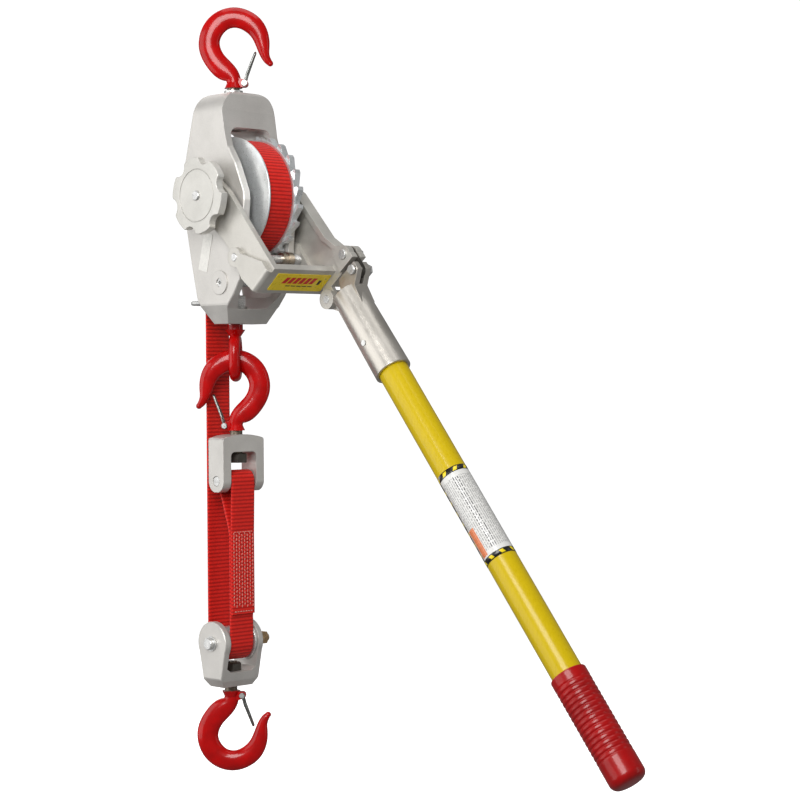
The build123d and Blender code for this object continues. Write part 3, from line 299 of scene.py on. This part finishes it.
CAST = cast_metal("cast_aluminium", linear(214, 211, 206), linear(200, 197, 192), 0.44)
CAST_WHEEL = cast_metal("handwheel_aluminium", linear(216, 214, 208), linear(200, 198, 192), 0.45)
CAST_YOKE = cast_metal("yoke_aluminium", linear(205, 202, 195), linear(190, 187, 180), 0.4)
CAST_SOCKET = cast_metal("socket_aluminium", linear(208, 203, 195), linear(194, 189, 180), 0.34,
                         metallic=0.85)
ZINC = plated_steel("zinc_steel", linear(226, 226, 224), 0.3, metallic=0.75)
DRUM = plated_steel("drum_steel", linear(232, 235, 236), 0.32, metallic=0.75, mottled=0.1)
DARK = plated_steel("dark_steel", linear(96, 92, 86), 0.36, metallic=0.9)
PAWL = plated_steel("pawl_steel", linear(196, 184, 168), 0.3)
WIRE = plated_steel("latch_wire", linear(150, 152, 148), 0.3)
BRASS = plated_steel("brass", linear(236, 198, 150), 0.3)
BRONZE = plated_steel("bronze", linear(190, 158, 112), 0.35)
TOP_ENAMEL = red_enamel("top_hook_enamel", TOP_COLLAR - COLLAR_GAP, False)
STRAP_ENAMEL = red_enamel("strap_hook_enamel", STRAP_COLLAR - COLLAR_GAP, False)
EYE_ENAMEL = red_enamel("eye_enamel", EYE_COLLAR + COLLAR_GAP, True)
LOAD_ENAMEL = red_enamel("load_hook_enamel", LOAD_COLLAR + COLLAR_GAP, True)
TUBE = gloss_tube()
VINYL = grip_vinyl()
YELLOW_PLATE = print_material("yellow_plate", linear(244, 214, 0), 0.3, Coat_Weight=0.4)
PLATE = print_material("rating_plate_face", linear(226, 224, 218), 0.34, Metallic=0.4)
# the second colour is painted shade for the webbing's grooves
WEB = webbing_material("webbing", linear(228, 38, 28), linear(150, 8, 4))

FINISHES = {
    CAST: ("frame_casting", "clevis", "block_casting"),
    CAST_WHEEL: ("handwheel",),
    CAST_YOKE: ("yoke",),
    CAST_SOCKET: ("handle_socket",),
    ZINC: ("strap_guide", "holding_pawl_pin", "clevis_pin", "clevis_spool", "top_hook_nut", "top_hook_washer",
           "top_latch_rivet", "drum_shaft", "shaft_nut", "pawl_shaft", "link_bolt_upper", "link_bolt_lower",
           "knuckle_pin", "socket_rivet", "eye_nut", "eye_washer", "strap_latch_rivet", "block_pin",
           "block_pin_washer", "sheave", "load_latch_rivet", "driving_pawl_spring", "holding_pawl_spring"),
    DRUM: ("drum_core", "ratchet_wheel"),
    DARK: ("handle_link", "strap_hook_nut", "load_hook_nut"),
    PAWL: ("driving_pawl", "holding_pawl"),
    WIRE: ("top_latch", "strap_latch", "load_latch"),
    BRASS: ("block_pin_nut",),
    BRONZE: ("axle_bush_left", "axle_bush_right"),
    TOP_ENAMEL: ("top_hook",),
    STRAP_ENAMEL: ("strap_hook",),
    LOAD_ENAMEL: ("load_hook",),
    EYE_ENAMEL: ("eye_bolt",),
    TUBE: ("handle_tube",),
    VINYL: ("grip",),
    YELLOW_PLATE: ("front_plate",),
    PLATE: ("rating_plate",),
}
for finish, members in FINISHES.items():
    for member in members:
        dress(member, finish)


# ---------------------------------------------------------------- mesh helpers
def centre(node):
    low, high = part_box(node)
    return (low + high) / 2


def placed(name, mesh, material, smooth=True):
    """Puts a finished mesh into the scene as a piece."""
    mesh.polygons.foreach_set("use_smooth", [smooth] * len(mesh.polygons))
    mesh.materials.append(material)
    mesh.update()
    piece = bpy.data.objects.new(name, mesh)
    bpy.context.scene.collection.objects.link(piece)
    return piece


def new_piece(name, vertices, faces, material, uv=None, smooth=True):
    """Mesh object from plain lists; uv holds one (across, along) pair for each corner of each face."""
    mesh = bpy.data.meshes.new(name)
    mesh.from_pydata([tuple(v) for v in vertices], [], faces)
    if uv is not None:
        layer = mesh.uv_layers.new(name="strip")
        flat = [number for face in uv for pair in face for number in pair]
        layer.data.foreach_set("uv", flat)
    return placed(name, mesh, material, smooth)


# ---------------------------------------------------------------- webbing
def rounded(corners):
    """Points along a polyline in the YZ plane whose corners, given as (point, radius), are arcs."""
    points = [corners[0][0]]
    for (before, _), (corner, radius), (after, _) in zip(corners, corners[1:], corners[2:]):
        if radius == 0:
            points.append(corner)
            continue
        back, ahead = (before - corner).normalized(), (after - corner).normalized()
        half = back.angle(ahead) / 2
        middle = corner + (back + ahead).normalized() * (radius / math.sin(half))
        start = corner + back * (radius / math.tan(half)) - middle
        turn = (math.pi - 2 * half) * (1 if back.cross(ahead) < 0 else -1)
        steps = max(2, round(abs(turn) / math.radians(4)))
        points += [middle + Matrix.Rotation(turn * k / steps, 2) @ start for k in range(steps + 1)]
    points.append(corners[-1][0])
    return points


def resampled(points, step):
    """The same line at even steps, as (point, distance along it)."""
    lengths = [0.0]
    for a, b in zip(points, points[1:]):
        lengths.append(lengths[-1] + (b - a).length)
    count = round(lengths[-1] / step)
    made, segment = [], 0
    for k in range(count + 1):
        along = lengths[-1] * k / count
        while segment < len(points) - 2 and lengths[segment + 1] < along:
            segment += 1
        share = (along - lengths[segment]) / max(lengths[segment + 1] - lengths[segment], 1e-9)
        made.append((points[segment].lerp(points[segment + 1], share), along))
    return made


def web_section():
    """Half-round selvedges joined by two flats: (across, through, share of the rib's relief)."""
    half, radius = STRAP_WIDTH / 2, STRAP_THICK / 2
    section = []
    for face in (1, -1):
        for k in range(SECTION_FLATS):
            across = face * (half - radius) * (1 - 2 * k / (SECTION_FLATS - 1))
            section.append((across, face * radius, 1.0))
        for k in range(1, 4):
            angle = math.pi / 4 * k
            across = -face * (half - radius + radius * math.sin(angle))
            section.append((across, face * radius * math.cos(angle), 0.7))
    return section


def rib_relief(along):
    """Groove depth at a distance along the strap, deepest between two filling yarns."""
    phase = along / RIB_PITCH % 1 - 0.5
    return RIB_DEPTH * (abs(2 * phase) ** 5)


def web_strip(name, line, material, closed=False):
    """Webbing swept along a line of (point, distance) in the YZ plane."""
    section = web_section()
    width = len(section)
    vertices, faces, uv = [], [], []
    count = len(line)
    for k, (point, along) in enumerate(line):
        before = line[k - 1 if closed else max(k - 1, 0)][0]
        after = line[(k + 1) % count if closed else min(k + 1, count - 1)][0]
        direction = (after - before).normalized()
        normal = Vector((direction.y, -direction.x))
        depth = rib_relief(along)
        for across, through, share in section:
            sink = depth * share
            out = math.copysign(max(abs(through) - sink, 0), through)
            side = across * (1 - (sink * 0.5 / STRAP_WIDTH if share < 1 else 0))
            place = point + normal * out
            vertices.append((side, place.x, place.y))
    girth = [0.0]
    for (a, b, _), (c, d, _) in zip(section, section[1:] + section[:1]):
        girth.append(girth[-1] + math.hypot(c - a, d - b))
    last = count if closed else count - 1
    for k in range(last):
        s0 = line[k][1]
        s1 = line[k + 1][1] if k + 1 < count else s0 + (line[1][1] - line[0][1])
        here, there = k * width, (k + 1) % count * width
        for j in range(width):
            n = (j + 1) % width
            faces.append((here + j, there + j, there + n, here + n))
            uv.append(((girth[j], s0), (girth[j], s1), (girth[j + 1], s1), (girth[j + 1], s0)))
    if not closed:
        for start, order in ((0, 1), ((count - 1) * width, -1)):
            ring = [start + j for j in range(width)][::order]
            faces.append(tuple(ring))
            uv.append(tuple((girth[i - start], line[start // width][1]) for i in ring))
    return new_piece(name, vertices, faces, material, uv)


def yz(point):
    """(y, z) of a point: the plane that the strap runs in."""
    return Vector((point[1], point[2]))


axle = yz(centre("wound_strap"))
roll_low, roll_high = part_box("wound_strap")
ROLL_RADIUS = (roll_high.z - roll_low.z) / 2
pin = yz(centre("block_pin"))
spool = yz(centre("clevis_spool"))
spool_low, spool_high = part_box("clevis_spool")
SPOOL_RADIUS = (spool_high.z - spool_low.z) / 2
wrap_low, wrap_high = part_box("strap_wrap")
REAR_Y = wrap_high.y - STRAP_THICK / 2
FRONT_Y = wrap_low.y + STRAP_THICK / 2
TAIL_Y = FRONT_Y - STRAP_THICK - 0.2 * MM
BEND_RADIUS = (REAR_Y - FRONT_Y) / 2
GUIDE_Z = centre("strap_guide").z


LAP_ANGLE, LAP_STEPS = math.radians(50), 12     # the strap's end sinks into the roll over this turn
LAP_SINK = 3.9 * MM
PEEL_GAP = 0.4 * MM                             # free strap to the roll
SPOOL_GAP = 0.15 * MM
GUIDE_BEND, TAIL_BEND, LOOP_BEND, LOOP_EXIT_BEND = 40 * MM, 60 * MM, 9 * MM, 30 * MM


def strap_path():
    """From the roll on the drum, inside the guide bar, round the sheave, up and over the clevis spool."""
    reach = Vector((REAR_Y - STRAP_THICK / 2, GUIDE_Z)) - axle
    leave = math.atan2(reach.y, reach.x) + math.acos((ROLL_RADIUS + PEEL_GAP) / reach.length)
    points = []
    for k in range(LAP_STEPS, -1, -1):
        radius = ROLL_RADIUS + PEEL_GAP + STRAP_THICK / 2 - LAP_SINK * k / LAP_STEPS
        angle = leave + LAP_ANGLE * k / LAP_STEPS
        points.append(axle + Vector((math.cos(angle), math.sin(angle))) * radius)
    loop = SPOOL_RADIUS + SPOOL_GAP + STRAP_THICK / 2
    corners = [
        (points[-1], 0),
        (Vector((REAR_Y, GUIDE_Z)), GUIDE_BEND),
        (Vector((REAR_Y, pin.y - BEND_RADIUS)), BEND_RADIUS),
        (Vector((FRONT_Y, pin.y - BEND_RADIUS)), BEND_RADIUS),
        (Vector((FRONT_Y, STITCH_TOP)), TAIL_BEND),
        (Vector((loop, spool.y - 8 * MM)), LOOP_BEND),
        (Vector((loop, spool.y + loop)), loop * 0.98),
        (Vector((-loop, spool.y + loop)), loop * 0.98),
        (Vector((-loop, spool.y - 6 * MM)), LOOP_EXIT_BEND),
        (Vector((TAIL_Y, STITCH_TOP)), TAIL_BEND),
        (Vector((TAIL_Y, STITCH_BOTTOM)), 0),
    ]
    return points[:-1] + rounded(corners)


strap = web_strip("strap", resampled(strap_path(), RIB_PITCH / STEPS_PER_RIB), WEB)
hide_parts("strap_rear", "strap_wrap", "strap_front")
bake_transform(strap)


def circle_line(radius, count):
    """A closed ring about the drum shaft as (point, distance), with whole ribs round it."""
    ribs = round(2 * math.pi * radius / RIB_PITCH)
    line = []
    for k in range(count):
        angle = 2 * math.pi * k / count
        spoke = Vector((math.cos(angle), math.sin(angle)))
        line.append((axle + spoke * radius, ribs * RIB_PITCH * k / count))
    return line


outer_ribs = round(2 * math.pi * ROLL_RADIUS / RIB_PITCH)
outer_line = circle_line(ROLL_RADIUS - STRAP_THICK / 2, outer_ribs * STEPS_PER_RIB)
outer_turn = web_strip("wound_outer_turn", outer_line, WEB, closed=True)


CORE_CLEAR = 30.1 * MM          # radius just clear of the drum's core
TURN_CREASE = 0.5 * MM          # how deep the crease between two turns is
INNER_SIDES = 72


def inner_turns():
    """The turns under the outer one, with a crease on each side between every two."""
    inside, outside = CORE_CLEAR, ROLL_RADIUS - STRAP_THICK + 0.2 * MM
    turns = round((outside - inside) / STRAP_THICK)
    profile = []
    for side in (1, -1):
        for k in range(2 * turns + 1):
            share = k / (2 * turns)
            radius = inside + (outside - inside) * (share if side == 1 else 1 - share)
            crease = TURN_CREASE if k % 2 == 0 else 0
            profile.append((side * (STRAP_WIDTH / 2 - 0.1 * MM - crease), radius))
    around = INNER_SIDES
    vertices, faces, uv = [], [], []
    for k in range(around):
        angle = 2 * math.pi * k / around
        for x, radius in profile:
            vertices.append((x, axle.x + radius * math.cos(angle), axle.y + radius * math.sin(angle)))
    size = len(profile)
    for k in range(around):
        for j in range(size):
            a, b = k * size + j, k * size + (j + 1) % size
            c, d = (k + 1) % around * size + (j + 1) % size, (k + 1) % around * size + j
            faces.append((a, b, c, d))
            uv.append(((j * MM, k * RIB_PITCH), ((j + 1) * MM, k * RIB_PITCH),
                       ((j + 1) * MM, (k + 1) * RIB_PITCH), (j * MM, (k + 1) * RIB_PITCH)))
    return new_piece("wound_inner_turns", vertices, faces, WEB, uv)


inner = inner_turns()
for piece in (outer_turn, inner):
    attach(piece, "drum")
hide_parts("wound_strap")


# ---------------------------------------------------------------- stitching
def thread_stitch(bm, place, along, length, width, height):
    """One raised stitch: a short bar with round ends lying on the strap's front face (facing -Y)."""
    across = Vector((0, -1, 0)).cross(along)
    rings = ((-0.5, 0.25), (-0.36, 0.85), (0, 1.0), (0.36, 0.85), (0.5, 0.25))
    rows = []
    for shift, fat in rings:
        row = []
        for k in range(5):
            angle = math.pi * k / 4
            point = (place + along * (shift * length) + across * (math.cos(angle) * width / 2 * fat)
                     + Vector((0, -1, 0)) * (math.sin(angle) * height * fat))
            row.append(bm.verts.new(point))
        rows.append(row)
    for lower, upper in zip(rows, rows[1:]):
        for k in range(4):
            bm.faces.new((lower[k], lower[k + 1], upper[k + 1], upper[k]))
        bm.faces.new((lower[4], lower[0], upper[0], upper[4]))
    bm.faces.new(rows[0][::-1])
    bm.faces.new(rows[-1])


STITCH_ROWS, STITCH_MARGIN = 8, 3.5 * MM        # margin from the strap's edge to the first row
STITCH_LENGTH, STITCH_WIDTH, STITCH_HEIGHT = 3.7 * MM, 1.3 * MM, 0.6 * MM
END_STITCH_LENGTH, END_STITCH_WIDTH = 3.6 * MM, 1.2 * MM
STITCH_LEAN = 0.22


def stitching():
    """Lengthwise rows of lock stitches, stepped from row to row, closed by a row across each end."""
    bm = bmesh.new()
    face_y = TAIL_Y - STRAP_THICK / 2 + 0.12 * MM
    top, bottom = STITCH_TOP - 2 * MM, STITCH_BOTTOM + 4 * MM
    first = -STRAP_WIDTH / 2 + STITCH_MARGIN
    spacing = (STRAP_WIDTH - 2 * STITCH_MARGIN) / (STITCH_ROWS - 1)
    count = int((top - bottom) / RIB_PITCH)
    for row in range(STITCH_ROWS):
        for k in range(count):
            z = top - RIB_PITCH * (k + (0.5 if row % 2 else 0))
            way = Vector((STITCH_LEAN if k % 2 else -STITCH_LEAN, 0, 1)).normalized()
            place = Vector((first + spacing * row, face_y, z))
            thread_stitch(bm, place, way, STITCH_LENGTH, STITCH_WIDTH, STITCH_HEIGHT)
    for z in (top + 2.2 * MM, bottom - 0.6 * MM):
        for k in range(STITCH_ROWS - 1):
            place = Vector((first + spacing * (k + 0.5), face_y, z))
            thread_stitch(bm, place, Vector((1, 0, 0)), END_STITCH_LENGTH, END_STITCH_WIDTH, STITCH_HEIGHT)
    mesh = bpy.data.meshes.new("strap_stitching")
    bm.to_mesh(mesh)
    bm.free()
    return placed("strap_stitching", mesh, thread_material())


stitches = stitching()
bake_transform(stitches)


# ---------------------------------------------------------------- handle label
down_handle = Vector((0, -math.sin(HANDLE_TILT), -math.cos(HANDLE_TILT)))
across_handle = Vector((1, 0, 0))
off_handle = across_handle.cross(down_handle)
HANDLE_SIDES = 96
tube_low, tube_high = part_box("handle_tube")
TUBE_RADIUS = (tube_high.x - tube_low.x) / 2
LABEL_RADIUS = TUBE_RADIUS + 0.12 * MM
LABEL_WRAP = 300.0               # degrees of the tube that the label covers
LABEL_EDGE = 231.0               # where its seam side starts, from +X round towards the front
LABEL_WIDE = math.radians(LABEL_WRAP) * LABEL_RADIUS
LABEL_BORDER, LOZENGE_PITCH = 7 * MM, 15 * MM
ROW_PITCH, ROW_MARGIN = 2.7 * MM, 13 * MM
HEAVY_ACROSS, HEAVY_HALF = 31 * MM, 4.2 * MM            # the darker rows
BLOCK_ACROSS, BLOCK_HALF_WIDE = 13.2 * MM, 5 * MM       # the orange block
BLOCK_FROM_END, BLOCK_HALF_LONG = 28 * MM, 19 * MM


def label_material():
    """White wrap: grey lines of filler marks, an orange block, and a black and yellow border."""
    s = Shader("handle_label", Roughness=0.34, Coat_Weight=0.3)
    across, along = s.strip()

    def within(value, middle, half):
        return s.math("LESS_THAN", s.math("ABSOLUTE", s.math("SUBTRACT", value, middle)), half)

    to_end = s.math("MINIMUM", along, s.math("SUBTRACT", LABEL_LENGTH, along))
    to_side = s.math("MINIMUM", across, s.math("SUBTRACT", LABEL_WIDE, across))
    depth = s.math("MINIMUM", to_end, to_side)
    border = s.math("LESS_THAN", depth, LABEL_BORDER)
    on_end = s.math("LESS_THAN", to_end, LABEL_BORDER)
    on_side = s.math("SUBTRACT", 1.0, on_end)
    run = s.math("ADD", s.math("MULTIPLY", across, on_end), s.math("MULTIPLY", along, on_side))
    lean = s.math("MULTIPLY_ADD", depth, 0.55, run)
    lozenge = within(s.math("FRACT", s.math("DIVIDE", lean, LOZENGE_PITCH)), 0.5, 0.17)
    inside = within(depth, LABEL_BORDER / 2, LABEL_BORDER * 0.33)
    spot = s.math("MULTIPLY", lozenge, inside)
    border_colour = s.blend(spot, linear(18, 18, 16), linear(236, 210, 10))

    row = s.math("DIVIDE", across, ROW_PITCH)
    in_row = s.math("LESS_THAN", s.math("FRACT", row), 0.5)
    cell = s.node("ShaderNodeCombineXYZ")
    s.feed(cell.inputs[0], s.math("FLOOR", row))
    s.feed(cell.inputs[1], s.math("MULTIPLY", along, 420.0))
    marks = s.math("GREATER_THAN", s.noise(1.0, 2, 0.6, cell.outputs[0]), 0.46)
    rows = s.math("MULTIPLY", in_row, marks)
    column = s.math("MULTIPLY", s.math("GREATER_THAN", along, ROW_MARGIN),
                    s.math("LESS_THAN", along, LABEL_LENGTH - ROW_MARGIN))
    heavy = within(across, HEAVY_ACROSS, HEAVY_HALF)
    ink = s.math("MULTIPLY", s.math("MULTIPLY", rows, column), s.math("MULTIPLY_ADD", heavy, 0.4, 0.5))
    paper = s.blend(s.spread(s.noise(180, 3, 0.6), 0.3, 0.7), linear(208, 207, 203), linear(222, 221, 218))
    printed = s.blend(ink, paper, linear(60, 60, 64))
    block = s.math("MULTIPLY", within(across, BLOCK_ACROSS, BLOCK_HALF_WIDE),
                   within(along, LABEL_LENGTH - BLOCK_FROM_END, BLOCK_HALF_LONG))
    orange = s.blend(s.math("MULTIPLY", rows, 0.5), linear(226, 132, 84), linear(150, 70, 40))
    s.colour(s.blend(border, s.blend(block, printed, orange), border_colour))
    s.bump(s.noise(320, 3, 0.5), 0.00003, 0.4)
    return s.material


def wrapped_label():
    """The printed wrap, a thin open sleeve round the tube."""
    around, lengthwise = HANDLE_SIDES, 24
    vertices, faces, uv = [], [], []
    for j in range(lengthwise + 1):
        along = LABEL_LENGTH * j / lengthwise
        middle = HANDLE_POINT + down_handle * (LABEL_START + along)
        for k in range(around + 1):
            angle = math.radians(LABEL_EDGE - LABEL_WRAP * k / around)
            spoke = across_handle * math.cos(angle) - off_handle * math.sin(angle)
            vertices.append(middle + spoke * LABEL_RADIUS)
    for j in range(lengthwise):
        for k in range(around):
            a = j * (around + 1) + k
            faces.append((a, a + 1, a + around + 2, a + around + 1))
            u0, u1 = LABEL_WIDE * k / around, LABEL_WIDE * (k + 1) / around
            v0, v1 = LABEL_LENGTH * j / lengthwise, LABEL_LENGTH * (j + 1) / lengthwise
            uv.append(((u0, v0), (u1, v0), (u1, v1), (u0, v1)))
    piece = new_piece("handle_label", vertices, faces, label_material(), uv)
    skin = piece.modifiers.new("thickness", "SOLIDIFY")
    skin.thickness = 0.1 * MM
    skin.offset = -1
    return piece


label = wrapped_label()
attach(label, "yoke")


# ---------------------------------------------------------------- ribbed grip
GRIP_START, GRIP_END, GRIP_RADIUS = 615 * MM, 757 * MM, 22 * MM     # distances from the handle's joint point
GRIP_RIB_PITCH, GRIP_RIB_DEPTH = 6.4 * MM, 1.25 * MM
GRIP_RIBS_FROM, GRIP_RIBS_TO = 10 * MM, 112 * MM                    # from the grip's mouth
GRIP_MOUTH, GRIP_NOSE = 1.4 * MM, 9 * MM                            # edge radii


def grip_radius(along, angle):
    """Radius at a distance from the mouth: rounded ends, and finger ribs that fade out at both ends."""
    length = GRIP_END - GRIP_START
    inset = 0.0
    if along < GRIP_MOUTH:
        inset = GRIP_MOUTH - math.sqrt(max(GRIP_MOUTH ** 2 - (GRIP_MOUTH - along) ** 2, 0.0))
    if along > length - GRIP_NOSE:
        inset = GRIP_NOSE - math.sqrt(max(GRIP_NOSE ** 2 - (along - length + GRIP_NOSE) ** 2, 0.0))
    into, left = along - GRIP_RIBS_FROM, GRIP_RIBS_TO - along
    fade = max(0.0, min(1.0, into / GRIP_RIB_PITCH, left / GRIP_RIB_PITCH))
    wave = 0.5 - 0.5 * math.cos(2 * math.pi * into / GRIP_RIB_PITCH)
    swell = 0.72 + 0.28 * math.cos(2 * angle)
    return GRIP_RADIUS - inset - GRIP_RIB_DEPTH * fade * wave ** 3 * swell


def ribbed_grip():
    """Sleeve with finger ribs, closed at the nose and open at the mouth."""
    around, length, step = HANDLE_SIDES, GRIP_END - GRIP_START, 0.5 * MM
    turns = [2 * math.pi * k / around for k in range(around)]
    stations = [0.0] + [GRIP_MOUTH * k / 4 for k in range(1, 4)]
    stations += [GRIP_MOUTH + step * k for k in range(int((length - GRIP_MOUTH - GRIP_NOSE) / step) + 1)]
    stations += [length - GRIP_NOSE * math.cos(math.pi / 2 * k / 12) for k in range(13)]
    stations = sorted(set(round(a, 7) for a in stations))

    def ring(along, radii):
        middle = HANDLE_POINT + down_handle * (GRIP_START + along)
        return [middle + (across_handle * math.cos(turn) + off_handle * math.sin(turn)) * radius
                for turn, radius in zip(turns, radii)]

    rings = [ring(0.0, [TUBE_RADIUS + 0.05 * MM] * around)]
    rings += [ring(along, [grip_radius(along, turn) for turn in turns]) for along in stations]
    vertices = [point for points in rings for point in points]
    faces = []
    for j in range(len(rings) - 1):
        for k in range(around):
            a, b = j * around + k, j * around + (k + 1) % around
            faces.append((a, b, b + around, a + around))
    faces.append(tuple((len(rings) - 1) * around + k for k in range(around)))
    return new_piece("ribbed_grip", vertices, faces, VINYL)


ribs = ribbed_grip()
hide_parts("grip")
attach(ribs, "yoke")


# ---------------------------------------------------------------- generic marks on the front plate
def plate_frame(node):
    """(centre of the printed face, right, up, outward) of a flat plate, from its largest outer face."""
    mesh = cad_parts[node].data
    outward = max(mesh.polygons, key=lambda p: p.area).normal.copy()
    low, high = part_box(node)
    middle = (low + high) / 2
    if outward.dot(middle - Vector((0, axle.x, axle.y))) < 0:
        outward = -outward
    right = Vector((1, 0, 0)) if abs(outward.x) < 0.5 else Vector((0, -1, 0))
    up = outward.cross(right).normalized()
    if up.z < 0:
        up = -up
    face = max((v.co for v in mesh.vertices), key=lambda co: co.dot(outward)).dot(outward)
    middle = middle + outward * (face - middle.dot(outward))
    return middle, right, up, outward


def decal(name, shapes, node, body, material, lift=0.06 * MM, thick=0.05 * MM):
    """Thin printed shapes, each a list of (right, up) points in millimetres, on a plate's face."""
    middle, right, up, outward = plate_frame(node)
    vertices, faces = [], []
    for shape in shapes:
        start = len(vertices)
        count = len(shape)
        for height in (lift, lift - thick):
            vertices += [middle + right * (x * MM) + up * (y * MM) + outward * height for x, y in shape]
        faces.append(tuple(range(start, start + count)))
        faces.append(tuple(range(start + 2 * count - 1, start + count - 1, -1)))
        for k in range(count):
            n = (k + 1) % count
            faces.append((start + n, start + k, start + count + k, start + count + n))
    piece = new_piece(name, vertices, faces, material, smooth=False)
    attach(piece, body)
    return piece


def slanted(x, y, width, height, lean=0.35):
    """Corners of a bar centred at (x, y) in millimetres; lean is its sideways shift per unit of height."""
    shift = lean * height / 2
    low, high = y - height / 2, y + height / 2
    left, right = x - width / 2, x + width / 2
    return [(left - shift, low), (right - shift, low), (right + shift, high), (left + shift, high)]


RED_PRINT = print_material("red_print", linear(206, 26, 14), 0.35)
BLACK_PRINT = print_material("black_print", linear(40, 38, 30), 0.4)
red_bars = [slanted(-24 + 8.8 * k, 3.2, 6.6, 10.5) for k in range(6)]
small_lines = [slanted(-16 + 9.0 * k, -6.2, 7.2, 1.5) for k in range(5)]
end_marks = [slanted(31, 1, 4.5, 8, 0.1), slanted(38, 8, 1.6, 1.6, 0)]
decal("front_plate_red_bars", red_bars, "front_plate", "yoke", RED_PRINT)
decal("front_plate_black_lines", small_lines + end_marks, "front_plate", "yoke", BLACK_PRINT)


# ---------------------------------------------------------------- stage, lights and camera
VIEW_TURN = math.radians(44.54)     # the camera stands on the -X -Y side and looks this far from +Y
ROOM_LIGHT, ROOM_REFLECTED = 0.27, 0.18         # the world's strength, and as glossy rays see it
PAPER_GLOW = 0.72                   # keeps the paper near white; its light doesn't reach the winch's finish
FLOOR_DROP = 0.12                   # floor below the load hook
PAPER_FRONT, PAPER_BACK, PAPER_BEND, PAPER_TOP, PAPER_HALF = -6.0, 3.2, 1.4, 7.0, 7.0
BEND_STEPS = 12
# softboxes: steps from the winch's middle towards the camera, right and up, then size and power in watts
SOFTBOXES = {
    "left": ((0.5, -2.1, 0.2), (2.0, 2.4), 25),
    "key": ((2.0, -0.5, 1.0), (1.2, 1.4), 50),
    "side": ((0.5, 2.2, 0.2), (0.5, 2.2), 3.5),
    "rear": ((-1.9, -0.9, 0.7), (1.2, 1.8), 12),
    "top": ((-0.1, 0.0, 1.9), (1.6, 1.6), 12),
}


def backdrop():
    """Pale floor that sweeps up into a wall behind the winch."""
    floor = cad_bounds[0].z - FLOOR_DROP
    away = Vector((math.sin(VIEW_TURN), math.cos(VIEW_TURN), 0))
    beside = Vector((math.cos(VIEW_TURN), -math.sin(VIEW_TURN), 0))
    profile = [(PAPER_FRONT, 0.0), (PAPER_BACK, 0.0)]
    for k in range(1, BEND_STEPS + 1):
        angle = math.pi / 2 * k / BEND_STEPS
        profile.append((PAPER_BACK + PAPER_BEND * math.sin(angle), PAPER_BEND * (1 - math.cos(angle))))
    profile.append((PAPER_BACK + PAPER_BEND, PAPER_TOP))
    vertices, faces = [], []
    for reach, height in profile:
        for side in (-PAPER_HALF, PAPER_HALF):
            vertices.append(away * reach + beside * side + Vector((0, 0, floor + height)))
    for k in range(len(profile) - 1):
        faces.append((2 * k, 2 * k + 1, 2 * k + 3, 2 * k + 2))
    paper = Shader("studio_paper", Roughness=0.9, Emission_Color=(1, 1, 1, 1), Emission_Strength=PAPER_GLOW)
    paper.colour(paper.blend(paper.noise(2.0, 2, 0.5), linear(246, 246, 246), linear(252, 252, 252)))
    piece = new_piece("studio_floor", vertices, faces, paper.material)
    piece.visible_glossy = False
    piece.visible_diffuse = False


def softbox(name, place, aim, size, power):
    """A rectangular white lamp turned to face a point."""
    data = bpy.data.lights.new(name, "AREA")
    data.shape, data.size, data.size_y = "RECTANGLE", size[0], size[1]
    data.energy = power
    lamp = bpy.data.objects.new(name, data)
    bpy.context.scene.collection.objects.link(lamp)
    lamp.location = place
    lamp.rotation_mode = "QUATERNION"
    lamp.rotation_quaternion = (Vector(aim) - Vector(place)).to_track_quat("-Z", "Y")


def studio():
    """A dim room, darker still in reflections, lit by a key in front, a wide box left and weaker ones."""
    world = bpy.data.worlds.new("studio")
    world.use_nodes = True
    tree = world.node_tree
    sky = tree.nodes["Background"]
    sky.inputs["Color"].default_value = (1, 1, 1, 1)
    path = tree.nodes.new("ShaderNodeLightPath")
    level = tree.nodes.new("ShaderNodeMath")
    level.operation = "MULTIPLY_ADD"
    level.inputs[1].default_value = ROOM_REFLECTED - ROOM_LIGHT
    level.inputs[2].default_value = ROOM_LIGHT
    tree.links.new(path.outputs["Is Glossy Ray"], level.inputs[0])
    tree.links.new(level.outputs[0], sky.inputs["Strength"])
    bpy.context.scene.world = world
    middle = (cad_bounds[0] + cad_bounds[1]) / 2
    right = Vector((math.cos(VIEW_TURN), -math.sin(VIEW_TURN), 0))
    toward = Vector((-math.sin(VIEW_TURN), -math.cos(VIEW_TURN), 0))
    up = Vector((0, 0, 1))
    for name, ((forward, aside, lift), size, power) in SOFTBOXES.items():
        softbox(name, middle + toward * forward + right * aside + up * lift, middle, size, power)


CAMERA_PLACE = Vector((-1.7369, -2.0619, -0.4333))
CAMERA_PITCH, CAMERA_ROLL = math.radians(0.85), math.radians(-0.4)
CAMERA_LENS = 95.2


def camera():
    """Perspective camera, with no shift and no depth of field."""
    turn = -VIEW_TURN
    back = Vector((math.sin(turn) * math.cos(CAMERA_PITCH), -math.cos(turn) * math.cos(CAMERA_PITCH),
                   math.sin(CAMERA_PITCH)))
    right = Vector((math.cos(turn), math.sin(turn), 0))
    up = back.cross(right)
    c, s = math.cos(CAMERA_ROLL), math.sin(CAMERA_ROLL)
    right, up = right * c + up * s, up * c - right * s
    data = bpy.data.cameras.new("camera")
    data.sensor_width, data.lens = 36, CAMERA_LENS
    made = bpy.data.objects.new("camera", data)
    made.matrix_world = Matrix.Translation(CAMERA_PLACE) @ Matrix((right, up, back)).transposed().to_4x4()
    bpy.context.scene.collection.objects.link(made)
    bpy.context.scene.camera = made


backdrop()
studio()
camera()
bpy.context.scene.view_settings.view_transform = "Standard"
